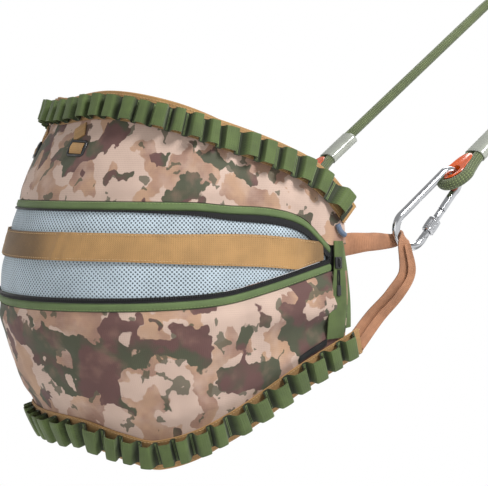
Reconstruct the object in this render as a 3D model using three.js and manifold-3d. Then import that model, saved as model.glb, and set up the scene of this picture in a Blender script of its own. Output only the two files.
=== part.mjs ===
// Tree-climbing hunting saddle: a camouflage hip harness worn round the hips, with an unzipped air-mesh
// gusset between its two panels, looped gear belts along both edges, two bridge loops, two screw-gate
// carabiners and the rope that goes round a trunk. Millimetres. +X is the wearer's front, +Y the wearer's
// left, +Z up. The origin is the middle of the hips. Names that start with right_ lie at -Y.
import * as THREE from 'three';
import { mergeVertices } from 'three/addons/utils/BufferGeometryUtils.js';
import Module from 'manifold-3d';

const wasm = await Module();
wasm.setup();

// --- Overall shape -------------------------------------------------------------------------------
const HIP_BACK = 180; // widest reach behind the origin
const HIP_SIDE = 180; // widest reach to each side
const SIDE_ARC = 270; // station of the hip's side, measured along the wall from the centre back
const FRONT_REACH = 160; // how far the panels run forward of the hip's side
const FRONT_CURL = 18; // how far their front ends turn in
const FRONT = SIDE_ARC + FRONT_REACH; // station of the panels' front edges

// --- Layers, from the wearer outwards ---------------------------------------------------------------
const GAP = 0.3; // between pieces that touch edge to edge
const LAYER = 0.9; // between fabric layers that lie on each other
const PANEL = 4; // padded camouflage panel
const LINING = 1.5; // inner lining
const BELT = 1.8; // tan structural belt
const BELT_WIDTH = 34;
const WEB = 1.6; // green loop webbing
const WEB_WIDTH = 25.4;
const LOOP_PITCH = 24;
const LOOP_RISE = 11;
const LOOP_STEPS = 4; // stations in each loop
const UPPER_LOOPS = 36;
const LOWER_LOOPS = 37;
const PIPING = 3.4; // diameter of the cord sewn along a panel's edge
const BINDING = 9; // height of the green tape over each zip edge
const BINDING_DEPTH = 6.5;
const BINDING_OUT = 0.3; // how far it stands proud of the panel
const ZIP = 5; // height of the zip tape with its teeth
const ZIP_DEPTH = 3.2;
const MESH = 5; // spacer mesh
const GUSSET_END = FRONT - 32; // station where the two zips meet
const ZIP_END = FRONT - 26; // station where the zips and their bindings end
const MIDDLE_END = FRONT - 46; // station where the middle belt is stitched down
const BACK_STEPS = 12; // facets from the centre back to each side
const FRONT_STEPS = 3; // and from there to the middle belt's end

// --- Hardware -----------------------------------------------------------------------------------
const STRAP = 25.4; // webbing width of the front straps and bridge loops
const BRIDGE = 3.2; // bridge webbing, two plies
const WIRE = 9.5; // carabiner wire
const CARABINER = 122; // carabiner length
const WIDE_BEND = 21; // bend radius of its wide end, at the wire's middle
const NARROW_BEND = 14; // bend radius of its narrow end
const ROPE = 14;
const THIMBLE_BORE = 8.5; // inner radius of the thimble
const THIMBLE_WALL = 2.6;
const SLEEVE_WALL = 1.2;
const SLEEVE_LENGTH = 48;
const HARDWARE_Y = 158; // the carabiners' plane, to each side

// Fabric tucks in towards the waist and the thighs: [height, tuck behind, tuck at the sides].
const TUCKS = [
  [-260, 70, 35],
  [-190, 42, 22],
  [-130, 18, 9],
  [-55, 0, 0],
  [45, 23, 10],
  [140, 66, 28],
  [175, 76, 32],
];
// Heights of each line round the saddle: [station, height].
const UPPER_LINE = [[0, 145], [90, 149], [180, 138], [270, 117], [370, 84], [410, 59], [442, 24]];
const LOWER_LINE = [[0, -199], [80, -200], [135, -212], [180, -219], [270, -196], [370, -144], [462, -107]];
const UPPER_ZIP = [[0, 41], [225, 40], [270, 36.5], [330, 32], [370, 20], [402, -8]];
const LOWER_ZIP = [[0, -58], [135, -56], [225, -53], [270, -49], [330, -37], [370, -28], [402, -21]];
const MIDDLE_LINE = [[0, 1], [135, 2], [225, 0], [300, -3], [350, -8], [402, -15]];

const COLOURS = {
  camo: 0xa8937f,
  green: 0x5f7a3f,
  tan: 0xc49a5c,
  bridge: 0xb07a50,
  mesh: 0xb9cad4,
  black: 0x161616,
  lining: 0x4a4e42,
  steel: 0xc9ccd0,
  thimble: 0xd9551a,
  sleeve: 0xc4c7bd,
  rope: 0x66703f,
  bluegrey: 0x6f7f95,
};

// A smooth curve through [x, y] rows, level past both ends.
function smooth(rows, column = 1) {
  return (x) => {
    if (x <= rows[0][0]) return rows[0][column];
    const last = rows.length - 1;
    if (x >= rows[last][0]) {
      const run = rows[last][0] - rows[last - 1][0];
      const slope = (rows[last][column] - rows[last - 1][column]) / run;
      return rows[last][column] + slope * (x - rows[last][0]);
    }
    const i = rows.findIndex((row, n) => n < last && x < rows[n + 1][0]);
    const before = rows[Math.max(i - 1, 0)];
    const from = rows[i];
    const to = rows[i + 1];
    const after = rows[Math.min(i + 2, last)];
    const run = to[0] - from[0];
    const slopeFrom = i === 0 ? 0 : (to[column] - before[column]) / (to[0] - before[0]);
    const slopeTo = (after[column] - from[column]) / (after[0] - from[0]);
    const t = (x - from[0]) / run;
    const rise = to[column] - from[column];
    const bend = t * (1 - t) * ((slopeFrom * run - rise) * (1 - t) - (slopeTo * run - rise) * t);
    return from[column] + rise * t + bend;
  };
}

const backTuck = smooth(TUCKS, 1);
const sideTuck = smooth(TUCKS, 2);
const upperLine = smooth(UPPER_LINE);
const lowerLine = smooth(LOWER_LINE);
const upperZip = smooth(UPPER_ZIP);
const lowerZip = smooth(LOWER_ZIP);
const middleLine = smooth(MIDDLE_LINE);

// The wall's outer face at a station and height. Stations left of the centre back are positive.
function face(station, z) {
  const back = HIP_BACK - backTuck(z);
  const side = HIP_SIDE - sideTuck(z);
  const along = Math.abs(station);
  const hand = station < 0 ? -1 : 1;
  if (along <= SIDE_ARC) {
    const turn = (along / SIDE_ARC) * (Math.PI / 2);
    return new THREE.Vector3(-back * Math.cos(turn), hand * side * Math.sin(turn), z);
  }
  const reach = along - SIDE_ARC;
  const curl = FRONT_CURL * (reach / FRONT_REACH) ** 2;
  return new THREE.Vector3(reach, hand * (side - curl), z);
}

// A point raised off the wall's outer face along its normal.
function wall(station, z, raise = 0) {
  const along = face(station + 1, z).sub(face(station - 1, z));
  const up = face(station, z + 1).sub(face(station, z - 1));
  return face(station, z).addScaledVector(up.cross(along).normalize(), raise);
}

function material(colour, roughness = 0.85, metalness = 0) {
  return new THREE.MeshStandardMaterial({ color: COLOURS[colour], roughness, metalness });
}

const saddle = new THREE.Group();
saddle.name = 'hunting_saddle';

function add(name, geometry, finish, parent = saddle) {
  const mesh = new THREE.Mesh(geometry, finish);
  mesh.name = name;
  parent.add(mesh);
  return mesh;
}

// A closed solid through sections of equal length. Each section is { outer, inner }: two rows of points.
function loft(sections) {
  const rows = sections[0].outer.length;
  const ring = 2 * rows;
  const positions = [];
  for (const { outer, inner } of sections) {
    for (const point of [...outer, ...[...inner].reverse()]) positions.push(point.x, point.y, point.z);
  }
  const index = [];
  for (let k = 0; k < sections.length - 1; k += 1) {
    for (let j = 0; j < ring; j += 1) {
      const a = k * ring + j;
      const b = k * ring + ((j + 1) % ring);
      index.push(a, b, b + ring, a, b + ring, a + ring);
    }
  }
  const end = (sections.length - 1) * ring;
  for (let j = 0; j < rows - 1; j += 1) {
    const other = ring - 1 - j;
    index.push(j, other, other - 1, j, other - 1, j + 1);
    index.push(end + j, end + other - 1, end + other, end + j, end + j + 1, end + other - 1);
  }
  const geometry = new THREE.BufferGeometry();
  geometry.setAttribute('position', new THREE.Float32BufferAttribute(positions, 3));
  geometry.setIndex(index);
  geometry.computeVertexNormals();
  return geometry;
}

function steps(count, from, to) {
  return Array.from({ length: count + 1 }, (_, i) => from + ((to - from) * i) / count);
}

// Stations that every sheet shares, so that their facets line up, from one end to its mirror.
function stationsTo(end) {
  const shared = [
    ...steps(BACK_STEPS, 0, SIDE_ARC).slice(1),
    ...steps(FRONT_STEPS, SIDE_ARC, MIDDLE_END).slice(1),
    GUSSET_END, ZIP_END, FRONT,
  ];
  const half = shared.filter((s) => s < end);
  half.push(end);
  return [...half.map((s) => -s).reverse(), 0, ...half];
}

// A sheet of the wall between two height lines, from one raise to another.
function sheet({ end = FRONT, low, high, rows, inside, outside }) {
  return loft(stationsTo(end).map((station) => {
    const along = Math.abs(station);
    const heights = steps(rows, low(along), high(along));
    return {
      outer: heights.map((z) => wall(station, z, outside)),
      inner: heights.map((z) => wall(station, z, inside)),
    };
  }));
}

// A band that keeps its width square to its own line. raise(station) lifts it off the wall.
function band({ line, end, width, inside, outside, count = 44, raise = () => 0, rows = 2, shift = 0 }) {
  return loft(steps(count, -end, end).map((station) => {
    const along = Math.abs(station);
    const hand = station < 0 ? -1 : 1;
    const slope = ((line(along + 1) - line(along - 1)) / 2) * hand;
    const norm = Math.hypot(1, slope);
    const across = steps(rows, shift - width / 2, shift + width / 2);
    const at = (offset, off) =>
      wall(station - (slope * offset) / norm, line(along) + offset / norm, off);
    const lift = raise(station);
    return {
      outer: across.map((offset) => at(offset, outside + lift)),
      inner: across.map((offset) => at(offset, inside + lift)),
    };
  }));
}

// --- Layer raises --------------------------------------------------------------------------------
const PANEL_IN = -PANEL;
const LINING_OUT = PANEL_IN - LAYER;
const LINING_IN = LINING_OUT - LINING;
const BELT_IN = LAYER;
const BELT_OUT = BELT_IN + BELT;
const LOOP_IN = BELT_OUT + 1.5 * GAP;
const LOOP_OUT = LOOP_IN + WEB;
const MESH_OUT = -1;
const MESH_IN = MESH_OUT - MESH;

// A line square to the belts' slope that keeps a set distance from their middle.
function beside(line, distance) {
  return (along) => {
    const slope = (line(along + 1) - line(along - 1)) / 2;
    return line(along) + distance * Math.hypot(1, slope);
  };
}

const upperEdge = beside(upperLine, BELT_WIDTH / 2 - 1);
const lowerEdge = beside(lowerLine, 1 - BELT_WIDTH / 2);
const upperBindingTop = (along) => upperZip(along) + BINDING;
const lowerBindingBottom = (along) => lowerZip(along) - BINDING;

// --- Panels, gusset and belts -------------------------------------------------------------------
// Past the gusset the panels' inner edges keep the height that they have at the zips' end.
const upperPanelLow = (along) => upperBindingTop(Math.min(along, ZIP_END)) + GAP;
const lowerPanelHigh = (along) => lowerBindingBottom(Math.min(along, ZIP_END)) - GAP;
const upperPanel = { low: upperPanelLow, high: upperEdge, rows: 4 };
const lowerPanel = { low: lowerEdge, high: lowerPanelHigh, rows: 5 };
add('upper_panel', sheet({ ...upperPanel, inside: PANEL_IN, outside: 0 }), material('camo'));
add('lower_panel', sheet({ ...lowerPanel, inside: PANEL_IN, outside: 0 }), material('camo'));
add('upper_lining', sheet({ ...upperPanel, inside: LINING_IN, outside: LINING_OUT }), material('lining'));
add('lower_lining', sheet({ ...lowerPanel, inside: LINING_IN, outside: LINING_OUT }), material('lining'));

function zipSide(name, low, high, bindLow, bindHigh) {
  const edge = { end: ZIP_END, rows: 1 };
  add(`${name}_binding`, sheet({
    ...edge, low: bindLow, high: bindHigh, inside: BINDING_OUT - BINDING_DEPTH, outside: BINDING_OUT,
  }), material('green'));
  add(`${name}_zip_tape`, sheet({
    ...edge, low, high, inside: -1 - ZIP_DEPTH, outside: -1,
  }), material('black', 0.5));
}

zipSide('upper', (a) => upperZip(a) - GAP - ZIP, (a) => upperZip(a) - GAP, upperZip, upperBindingTop);
zipSide('lower', (a) => lowerZip(a) + GAP, (a) => lowerZip(a) + GAP + ZIP, lowerBindingBottom, lowerZip);

const gussetHigh = (along) => Math.max(upperZip(along) - 2 * GAP - ZIP, gussetLow(along) + 1);
function gussetLow(along) {
  return lowerZip(along) + 2 * GAP + ZIP;
}
add('mesh_gusset', sheet({
  end: GUSSET_END, low: gussetLow, high: gussetHigh, rows: 3, inside: MESH_IN, outside: MESH_OUT,
}), material('mesh'));

// The middle belt runs over the mesh and narrows where the zips close in on it.
const middleHigh = (along) => Math.min(middleLine(along) + BELT_WIDTH / 2, gussetHigh(along) - 1);
const middleLow = (along) => Math.max(middleLine(along) - BELT_WIDTH / 2, gussetLow(along) + 1);
add('middle_belt', sheet({
  end: MIDDLE_END, low: middleLow, high: middleHigh, rows: 2,
  inside: MESH_OUT + LAYER, outside: MESH_OUT + LAYER + BELT,
}), material('tan'));

const belts = [
  { name: 'upper', line: upperLine, end: FRONT + 10, loops: UPPER_LOOPS },
  { name: 'lower', line: lowerLine, end: FRONT + 24, loops: LOWER_LOOPS },
];
for (const { name, line, end, loops } of belts) {
  add(`${name}_belt`, band({
    line, end, width: BELT_WIDTH, inside: BELT_IN, outside: BELT_OUT, rows: 2,
  }), material('tan'));
  const span = (loops * LOOP_PITCH) / 2;
  const raise = (station) => {
    const phase = (station + span) / LOOP_PITCH;
    return LOOP_RISE * Math.abs(Math.sin(Math.PI * phase)) ** 0.6;
  };
  add(`${name}_loop_webbing`, band({
    line, end: span, width: WEB_WIDTH, inside: LOOP_IN, outside: LOOP_OUT, rows: 1,
    count: loops * LOOP_STEPS, raise,
  }), material('green'));
}

// Piping lies just outside each panel's free edge, between belt and lining.
const upperPiping = (along) => upperEdge(along) + GAP + PIPING / 2;
const lowerPiping = (along) => lowerEdge(along) - GAP - PIPING / 2;
for (const [name, line] of [['upper', upperPiping], ['lower', lowerPiping]]) {
  add(`${name}_piping`, sheet({
    low: (a) => line(a) - PIPING / 2, high: (a) => line(a) + PIPING / 2, rows: 1,
    inside: -PIPING, outside: 0,
  }), material('tan'));
}

// --- Helpers for straps and hardware ---------------------------------------------------------------
const v = (x, y, z) => new THREE.Vector3(x, y, z);

// A flat strap through points. Each row is [position, direction across its width, width, thickness].
function strap(rows, count = (rows.length - 1) * 3) {
  const middle = new THREE.CatmullRomCurve3(rows.map(([p]) => p), false, 'centripetal');
  const last = rows.length - 1;
  return loft(steps(count, 0, 1).map((t) => {
    const place = Math.min(Math.floor(t * last), last - 1);
    const part = t * last - place;
    const blend = (column) => rows[place][column] + (rows[place + 1][column] - rows[place][column]) * part;
    const p = middle.getPoint(t);
    const across = rows[place][1].clone().lerp(rows[place + 1][1], part).normalize();
    const out = across.clone().cross(middle.getTangent(t)).normalize();
    const at = (side, lift) => p.clone()
      .addScaledVector(across, side * blend(2) / 2)
      .addScaledVector(out, lift * blend(3) / 2);
    return { outer: [at(-1, 1), at(1, 1)], inner: [at(-1, -1), at(1, -1)] };
  }));
}

// A closed geometry as a manifold-3d solid, and back.
function solid(geometry) {
  const bare = new THREE.BufferGeometry();
  const flat = geometry.index ? geometry.toNonIndexed() : geometry;
  bare.setAttribute('position', flat.getAttribute('position'));
  const merged = mergeVertices(bare, 1e-4);
  return new wasm.Manifold(new wasm.Mesh({
    numProp: 3,
    vertProperties: new Float32Array(merged.attributes.position.array),
    triVerts: new Uint32Array(merged.index.array),
  }));
}

function geometryOf(made) {
  const mesh = made.getMesh();
  const geometry = new THREE.BufferGeometry();
  geometry.setAttribute('position', new THREE.BufferAttribute(new Float32Array(mesh.vertProperties), 3));
  geometry.setIndex(new THREE.BufferAttribute(new Uint32Array(mesh.triVerts), 1));
  geometry.computeVertexNormals();
  return geometry;
}

// A round bar along a curve.
function bar(curve, diameter, count, sides = 10) {
  const turns = steps(sides, 0, 2 * Math.PI).slice(0, sides);
  const section = new THREE.Shape(turns.map((turn) =>
    new THREE.Vector2(Math.cos(turn), Math.sin(turn)).multiplyScalar(diameter / 2)));
  return new THREE.ExtrudeGeometry(section, { steps: count, extrudePath: curve, bevelEnabled: false });
}

// A straight round rod or tube between two points; bore is the radius of its hole.
function rod(from, to, radius, bore = 0, sides = 16) {
  const length = from.distanceTo(to);
  const profile = [[bore, 0], [radius, 0], [radius, length], [bore, length]];
  if (bore > 0) profile.push([bore, 0]);
  const geometry = new THREE.LatheGeometry(profile.map(([r, h]) => new THREE.Vector2(r, h)), sides);
  geometry.applyQuaternion(new THREE.Quaternion()
    .setFromUnitVectors(v(0, 1, 0), to.clone().sub(from).normalize()));
  return geometry.translate(from.x, from.y, from.z);
}

// A box whose first two sides lie along the given directions.
function block(centre, first, second, size) {
  const geometry = new THREE.BoxGeometry(...size);
  const third = first.clone().cross(second).normalize();
  geometry.applyMatrix4(new THREE.Matrix4().makeBasis(first, second, third));
  return geometry.translate(centre.x, centre.y, centre.z);
}

// Side pieces are made at -Y, and the left group mirrors them.
const left = new THREE.Group();
left.scale.y = -1;
saddle.add(left);

function addPair(name, geometry, finish) {
  add(`right_${name}`, geometry, finish);
  add(`left_${name}`, geometry, finish, left);
}

// --- Front straps ----------------------------------------------------------------------------------
const END_STRAP_STATION = FRONT - 15;
const endStrapTop = upperPanelLow(END_STRAP_STATION) + 6;
const endStrapFoot = beside(lowerLine, BELT_WIDTH / 2 + 1)(END_STRAP_STATION + STRAP / 2);
const STRAP_OUT = LAYER + WEB;
addPair('end_strap', loft(steps(6, endStrapTop, endStrapFoot).map((z) => {
  const stations = steps(2, -END_STRAP_STATION - STRAP / 2, STRAP / 2 - END_STRAP_STATION);
  return {
    outer: stations.map((s) => wall(s, z, STRAP_OUT)),
    inner: stations.map((s) => wall(s, z, LAYER)),
  };
})), material('green'));

// Rear strap: slants down the inside of the panels' front ends and joins the two belts.
const REAR_WIDTH = 18;
const REAR_OUT = LINING_IN - LAYER;
addPair('rear_strap', loft(steps(6, 24, -98).map((z) => {
  const middle = -FRONT + 10 - (14 * (24 - z)) / 122;
  const stations = steps(2, middle - REAR_WIDTH / 2, middle + REAR_WIDTH / 2);
  return {
    outer: stations.map((s) => wall(s, z, REAR_OUT)),
    inner: stations.map((s) => wall(s, z, REAR_OUT - WEB)),
  };
})), material('green'));

// --- Carabiner -------------------------------------------------------------------------------------
const REACH = v(0.78, 0, 0.626).normalize(); // from a carabiner's wide end to its narrow end
const INWARD = v(REACH.z, 0, -REACH.x); // from its spine to its gate
const WIDE_END = v(231, -HARDWARE_Y, -1); // outermost point of its wide end
const WIRE_R = WIRE / 2;
const wideCentre = WIRE_R + WIDE_BEND;
const narrowCentre = CARABINER - WIRE_R - NARROW_BEND;
const NARROW_SHIFT = -7; // the narrow end's middle, towards the spine
const SPREAD = 7 * (Math.PI / 180); // taper of the carabiner's sides

// A point of the carabiner: along its length, across towards its gate, and out towards the viewer's side.
function onCarabiner(length, across, out = 0) {
  return WIDE_END.clone().addScaledVector(REACH, length).addScaledVector(INWARD, across).add(v(0, -out, 0));
}

function wideBend(turn) {
  return onCarabiner(wideCentre - WIDE_BEND * Math.cos(turn), WIDE_BEND * Math.sin(turn));
}

function narrowBend(turn) {
  const across = NARROW_SHIFT + NARROW_BEND * Math.sin(turn);
  return onCarabiner(narrowCentre + NARROW_BEND * Math.cos(turn), across);
}

const QUARTER = Math.PI / 2;
const gateStart = wideBend(QUARTER + SPREAD);
const gateEnd = narrowBend(QUARTER + SPREAD);
const gateWay = gateEnd.clone().sub(gateStart).normalize();
const gateSquare = v(gateWay.z, 0, -gateWay.x);
const onGate = (distance) => gateStart.clone().addScaledVector(gateWay, distance);
const PIN_AT = 4; // hinge pin, from the wide bend's end
const GATE_LENGTH = 46;
const GATE_R = 4.4;
const NOSE_GAP = 0.6;
const TONGUE = 4; // thickness of the body's hinge tongue
const SLOT = TONGUE + 2 * GAP;
const PIN_R = 1.4;
const SIDE_PLAY = 0.3;
const SLEEVE_R = 7.6; // lock sleeve
const LOCK_FROM = 14;
const LOCK_LENGTH = 18;
const yAxis = v(0, 1, 0);

function pinBar(radius, half, at = onGate(PIN_AT)) {
  return rod(at.clone().add(v(0, -half, 0)), at.clone().add(v(0, half, 0)), radius);
}

function carabinerBody() {
  const bodyWay = [
    onGate(8.2),
    onGate(0.5),
    ...steps(10, QUARTER + SPREAD, -QUARTER - SPREAD).slice(1, -1).map(wideBend),
    wideBend(-QUARTER - SPREAD),
    narrowBend(-QUARTER - SPREAD),
    ...steps(8, -QUARTER - SPREAD, QUARTER + SPREAD).slice(1, -1).map(narrowBend),
    gateEnd,
    onGate(GATE_LENGTH + NOSE_GAP),
  ];
  const curve = new THREE.CatmullRomCurve3(bodyWay, false, 'centripetal');
  let body = solid(bar(curve, WIRE, 44, 10));
  const cheek = [11, 2 * WIRE, WIRE];
  for (const side of [-1, 1]) {
    const centre = onGate(4.5).add(v(0, side * (TONGUE / 2 + WIRE / 2), 0));
    body = body.subtract(solid(block(centre, gateWay, gateSquare, cheek)));
  }
  return geometryOf(body.subtract(solid(pinBar(PIN_R + SIDE_PLAY, WIRE))));
}

function carabinerGate() {
  let gate = solid(rod(onGate(PIN_AT), onGate(GATE_LENGTH), GATE_R));
  gate = gate.add(solid(pinBar(GATE_R - 0.2, GATE_R * 0.8)));
  gate = gate.subtract(solid(block(onGate(3), gateWay, gateSquare, [13, 3 * WIRE, SLOT])));
  return geometryOf(gate.subtract(solid(pinBar(PIN_R + SIDE_PLAY, WIRE))));
}

const steel = () => material('steel', 0.25, 1);
addPair('carabiner_body', carabinerBody(), steel());
addPair('carabiner_gate', carabinerGate(), steel());
addPair('gate_pin', pinBar(PIN_R, WIRE_R), steel());
addPair('lock_sleeve', rod(
  onGate(LOCK_FROM), onGate(LOCK_FROM + LOCK_LENGTH), SLEEVE_R, GATE_R + SIDE_PLAY, 20,
), steel());

// --- Bridge loop: doubled webbing through the carabiner's wide end ------------------------------------
const FOLDED = 15; // its width where it is folded round the wire
const WRAP = WIRE_R + 2.2 + BRIDGE / 2; // from the wire's middle to the webbing's
const BRIDGE_IN = REAR_OUT - WEB - 4 * GAP - BRIDGE / 2;
const wrapAt = (turn) => onCarabiner(WIRE_R + WRAP * Math.sin(turn), 0, WRAP * -Math.cos(turn));
const firstAcross = v(0.19, 0, -0.98);
const secondAcross = v(0.91, 0, -0.41);
const bridgeRows = [
  [wall(-FRONT + 10, -4, BRIDGE_IN), firstAcross, STRAP, BRIDGE],
  [wall(-FRONT - 16, 0, BRIDGE_IN), firstAcross, STRAP, BRIDGE],
  [v(200, 0.5 - HARDWARE_Y + WRAP - 2, 1), firstAcross, 21, BRIDGE],
  ...steps(6, 0, Math.PI).map((turn) => [wrapAt(turn), INWARD, FOLDED, BRIDGE]),
  [v(240, 2 - HARDWARE_Y - WRAP, -34), secondAcross, 18, BRIDGE],
  [wall(-SIDE_ARC - 214, -82, -BRIDGE), secondAcross, 22, BRIDGE],
  [wall(-SIDE_ARC - 182, -116, BELT_IN - 7 * GAP - BRIDGE / 2), secondAcross, STRAP, BRIDGE],
];
addPair('bridge_loop', strap(bridgeRows, 36), material('bridge'));

// --- Thimble, rope eye, sleeve and rope ---------------------------------------------------------------
const EYE_R = THIMBLE_BORE + THIMBLE_WALL + 2 * GAP + ROPE / 2; // the rope's middle round the thimble
const THIMBLE_HALF = 7.2; // half its width
const LIP = 1.5;
const bendInside = Math.sqrt((NARROW_BEND - WIRE_R) ** 2 - THIMBLE_HALF ** 2);
const thimbleAt = narrowCentre + bendInside - LAYER / 2 + THIMBLE_BORE;
const thimbleCentre = onCarabiner(thimbleAt, NARROW_SHIFT);
const thimbleOut = THIMBLE_BORE + THIMBLE_WALL;
const thimbleProfile = [
  [THIMBLE_BORE, -THIMBLE_HALF],
  [thimbleOut + LIP, -THIMBLE_HALF],
  [thimbleOut, -THIMBLE_HALF + 2.2],
  [thimbleOut, THIMBLE_HALF - 2.2],
  [thimbleOut + LIP, THIMBLE_HALF],
  [THIMBLE_BORE, THIMBLE_HALF],
  [THIMBLE_BORE, -THIMBLE_HALF],
];
const thimble = new THREE.LatheGeometry(thimbleProfile.map(([r, h]) => new THREE.Vector2(r, h)), 24);
thimble.applyQuaternion(new THREE.Quaternion().setFromUnitVectors(yAxis, INWARD));
thimble.translate(thimbleCentre.x, thimbleCentre.y, thimbleCentre.z);
addPair('thimble', thimble, material('thimble', 0.3));

const LEG = ROPE / 2 + GAP; // each leg of the eye, from the eye's middle
const EYE_NECK = 36; // where the sleeve starts
const EYE_LEGS = 70; // where the eye's legs end in the sleeve
const onEye = (length, out) =>
  thimbleCentre.clone().addScaledVector(REACH, length).add(v(0, -out, 0));
const round = (degrees) => {
  const turn = (degrees * Math.PI) / 180;
  return onEye(EYE_R * Math.cos(turn), EYE_R * Math.sin(turn));
};
const halfEye = [[EYE_LEGS, LEG], [EYE_LEGS - 20, LEG], [EYE_NECK, LEG + 0.1], [26, LEG + 2.4]];
const eyeWay = [
  ...halfEye.map(([length, out]) => onEye(length, out)),
  ...steps(8, 52, 308).map(round),
  ...[...halfEye].reverse().map(([length, out]) => onEye(length, -out)),
];
const eyeCurve = new THREE.CatmullRomCurve3(eyeWay, false, 'centripetal');
addPair('rope_eye', bar(eyeCurve, ROPE, 30, 8), material('rope'));

function stadium(halfSpan, radius) {
  const path = new THREE.Path();
  path.absarc(halfSpan, 0, radius, -QUARTER, QUARTER, false);
  path.absarc(-halfSpan, 0, radius, QUARTER, 3 * QUARTER, false);
  return path.getPoints(6);
}
const sleeveBore = ROPE / 2 + 0.4;
const sleeveShape = new THREE.Shape(stadium(LEG, sleeveBore + SLEEVE_WALL));
sleeveShape.holes.push(new THREE.Path(stadium(LEG, sleeveBore)));
const splice = new THREE.ExtrudeGeometry(sleeveShape, { depth: SLEEVE_LENGTH, bevelEnabled: false });
splice.applyMatrix4(new THREE.Matrix4().makeBasis(yAxis, yAxis.clone().cross(REACH).negate(), REACH));
const sleeveStart = onEye(EYE_NECK, 0);
splice.translate(sleeveStart.x, sleeveStart.y, sleeveStart.z);
addPair('splice_sleeve', splice, material('sleeve', 0.2));

// The rope leaves the outer leg of the right eye, rises, goes round the trunk and comes back to the left.
const ropeStart = onEye(EYE_LEGS + GAP, LEG);
const ropeRun = 335; // straight stretch on each side
const trunk = ropeStart.clone().addScaledVector(REACH, ropeRun);
const bight = steps(8, -QUARTER, QUARTER).map((turn) =>
  v(trunk.x, 0, trunk.z)
    .addScaledVector(REACH, -trunk.y * Math.cos(turn))
    .add(v(0, -trunk.y * Math.sin(turn), 0)));
const rising = steps(7, 0, 0.94).map((share) => ropeStart.clone().lerp(trunk, share));
const falling = [...rising].reverse().map((p) => v(p.x, -p.y, p.z));
const ropeWay = new THREE.CatmullRomCurve3([...rising, ...bight, ...falling], false, 'centripetal');
add('rope', bar(ropeWay, ROPE, 38, 8), material('rope'));

// --- Zip sliders, keepers, label, buckles ---------------------------------------------------------------
const SLIDER = [9, 12, 4]; // width, height, depth
const sliderStation = -(FRONT - 18);
const sliderZ = endStrapTop - 26;
const SLIDER_IN = STRAP_OUT + LAYER;
const forward = face(sliderStation - 1, sliderZ).sub(face(sliderStation + 1, sliderZ)).normalize();
const upward = v(0, 0, 1);
const SLIDER_BODY = block(wall(sliderStation, sliderZ, SLIDER_IN + SLIDER[2] / 2), forward, upward, SLIDER);
addPair('zip_slider', SLIDER_BODY, material('black', 0.4));

const SWING_GAP = 0.8; // room for a hanging piece to turn at its upper edge
const PULL = [6, 30, 2];
const pullZ = sliderZ - SLIDER[1] / 2 - SWING_GAP - PULL[1] / 2;
addPair('zip_pull', block(
  wall(sliderStation, pullZ, SLIDER_IN - GAP + PULL[2] / 2), forward, upward, PULL,
), material('black', 0.7));

const KEEPER = 6;
const beltFoot = beside(upperLine, -BELT_WIDTH / 2);
const keeperWay = [[14, 7.4], [11, 10.5], [4, 7]] // [inset from the front edge, drop below the belt]
  .map(([inset, drop]) => wall(inset - FRONT, beltFoot(FRONT - inset) - drop, LAYER / 2 + KEEPER / 2));
addPair('keeper', bar(new THREE.CatmullRomCurve3(keeperWay), KEEPER, 6), material('bluegrey', 0.5));

const LABEL = { from: -(FRONT - 30), to: -(FRONT - 68), height: 9 };
add('right_label', loft(steps(4, LABEL.from, LABEL.to).map((station) => {
  const foot = beside(lowerLine, BELT_WIDTH / 2 + 1)(-station);
  const heights = [foot, foot + LABEL.height];
  return {
    outer: heights.map((z) => wall(station, z, LAYER + 1.2)),
    inner: heights.map((z) => wall(station, z, LAYER)),
  };
})), material('black', 0.6));

const TAB_WIDTH = 20;
const TAB_DROP = 14;
const tabTop = beside(upperLine, -BELT_WIDTH / 2 - 1.4)(58);
const tabStation = (z) => -54 - (tabTop - z) * 0.45;
addPair('buckle_tab', loft(steps(3, tabTop, tabTop - TAB_DROP).map((z) => {
  const stations = steps(1, tabStation(z) - TAB_WIDTH / 2, tabStation(z) + TAB_WIDTH / 2);
  return {
    outer: stations.map((s) => wall(s, z, LAYER + WEB)),
    inner: stations.map((s) => wall(s, z, LAYER)),
  };
})), material('tan'));

const BUCKLE = { width: 28, height: 20, depth: 3, bar: 3.4 };
const buckleZ = tabTop - TAB_DROP - SWING_GAP - BUCKLE.height / 2;
const buckleStation = tabStation(buckleZ);
const buckleCentre = wall(buckleStation, buckleZ, LAYER + BUCKLE.depth / 2);
const buckleAlong = face(buckleStation - 1, buckleZ).sub(face(buckleStation + 1, buckleZ)).normalize();
const buckleUp = face(buckleStation, buckleZ + 1).sub(face(buckleStation, buckleZ - 1)).normalize();
const slotHeight = (BUCKLE.height - 3 * BUCKLE.bar) / 2;
let buckle = solid(block(buckleCentre, buckleAlong, buckleUp, [BUCKLE.width, BUCKLE.height, BUCKLE.depth]));
for (const side of [-1, 1]) {
  const middle = buckleCentre.clone().addScaledVector(buckleUp, side * (slotHeight + BUCKLE.bar) / 2);
  const slot = [BUCKLE.width - 2 * BUCKLE.bar, slotHeight, 3 * BUCKLE.depth];
  buckle = buckle.subtract(solid(block(middle, buckleAlong, buckleUp, slot)));
}
addPair('ladder_buckle', geometryOf(buckle), material('black', 0.45));

export default saddle;
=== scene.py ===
import math
import random

import bpy
from mathutils import Matrix, Vector, noise


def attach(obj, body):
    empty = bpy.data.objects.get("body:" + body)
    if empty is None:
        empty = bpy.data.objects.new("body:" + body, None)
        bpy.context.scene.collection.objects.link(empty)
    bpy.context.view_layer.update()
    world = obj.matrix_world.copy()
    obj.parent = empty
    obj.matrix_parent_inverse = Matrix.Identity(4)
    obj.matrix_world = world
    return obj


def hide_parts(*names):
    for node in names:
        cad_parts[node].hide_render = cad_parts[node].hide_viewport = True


bl_info = {
    "name": "Hunting saddle",
    "version": (1, 0, 0),
    "blender": (4, 5, 0),
    "location": "View3D > Sidebar > Saddle",
    "description": "Builds a camouflage tree saddle with its bridge loops, carabiners and rope",
    "category": "Object",
}

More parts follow.
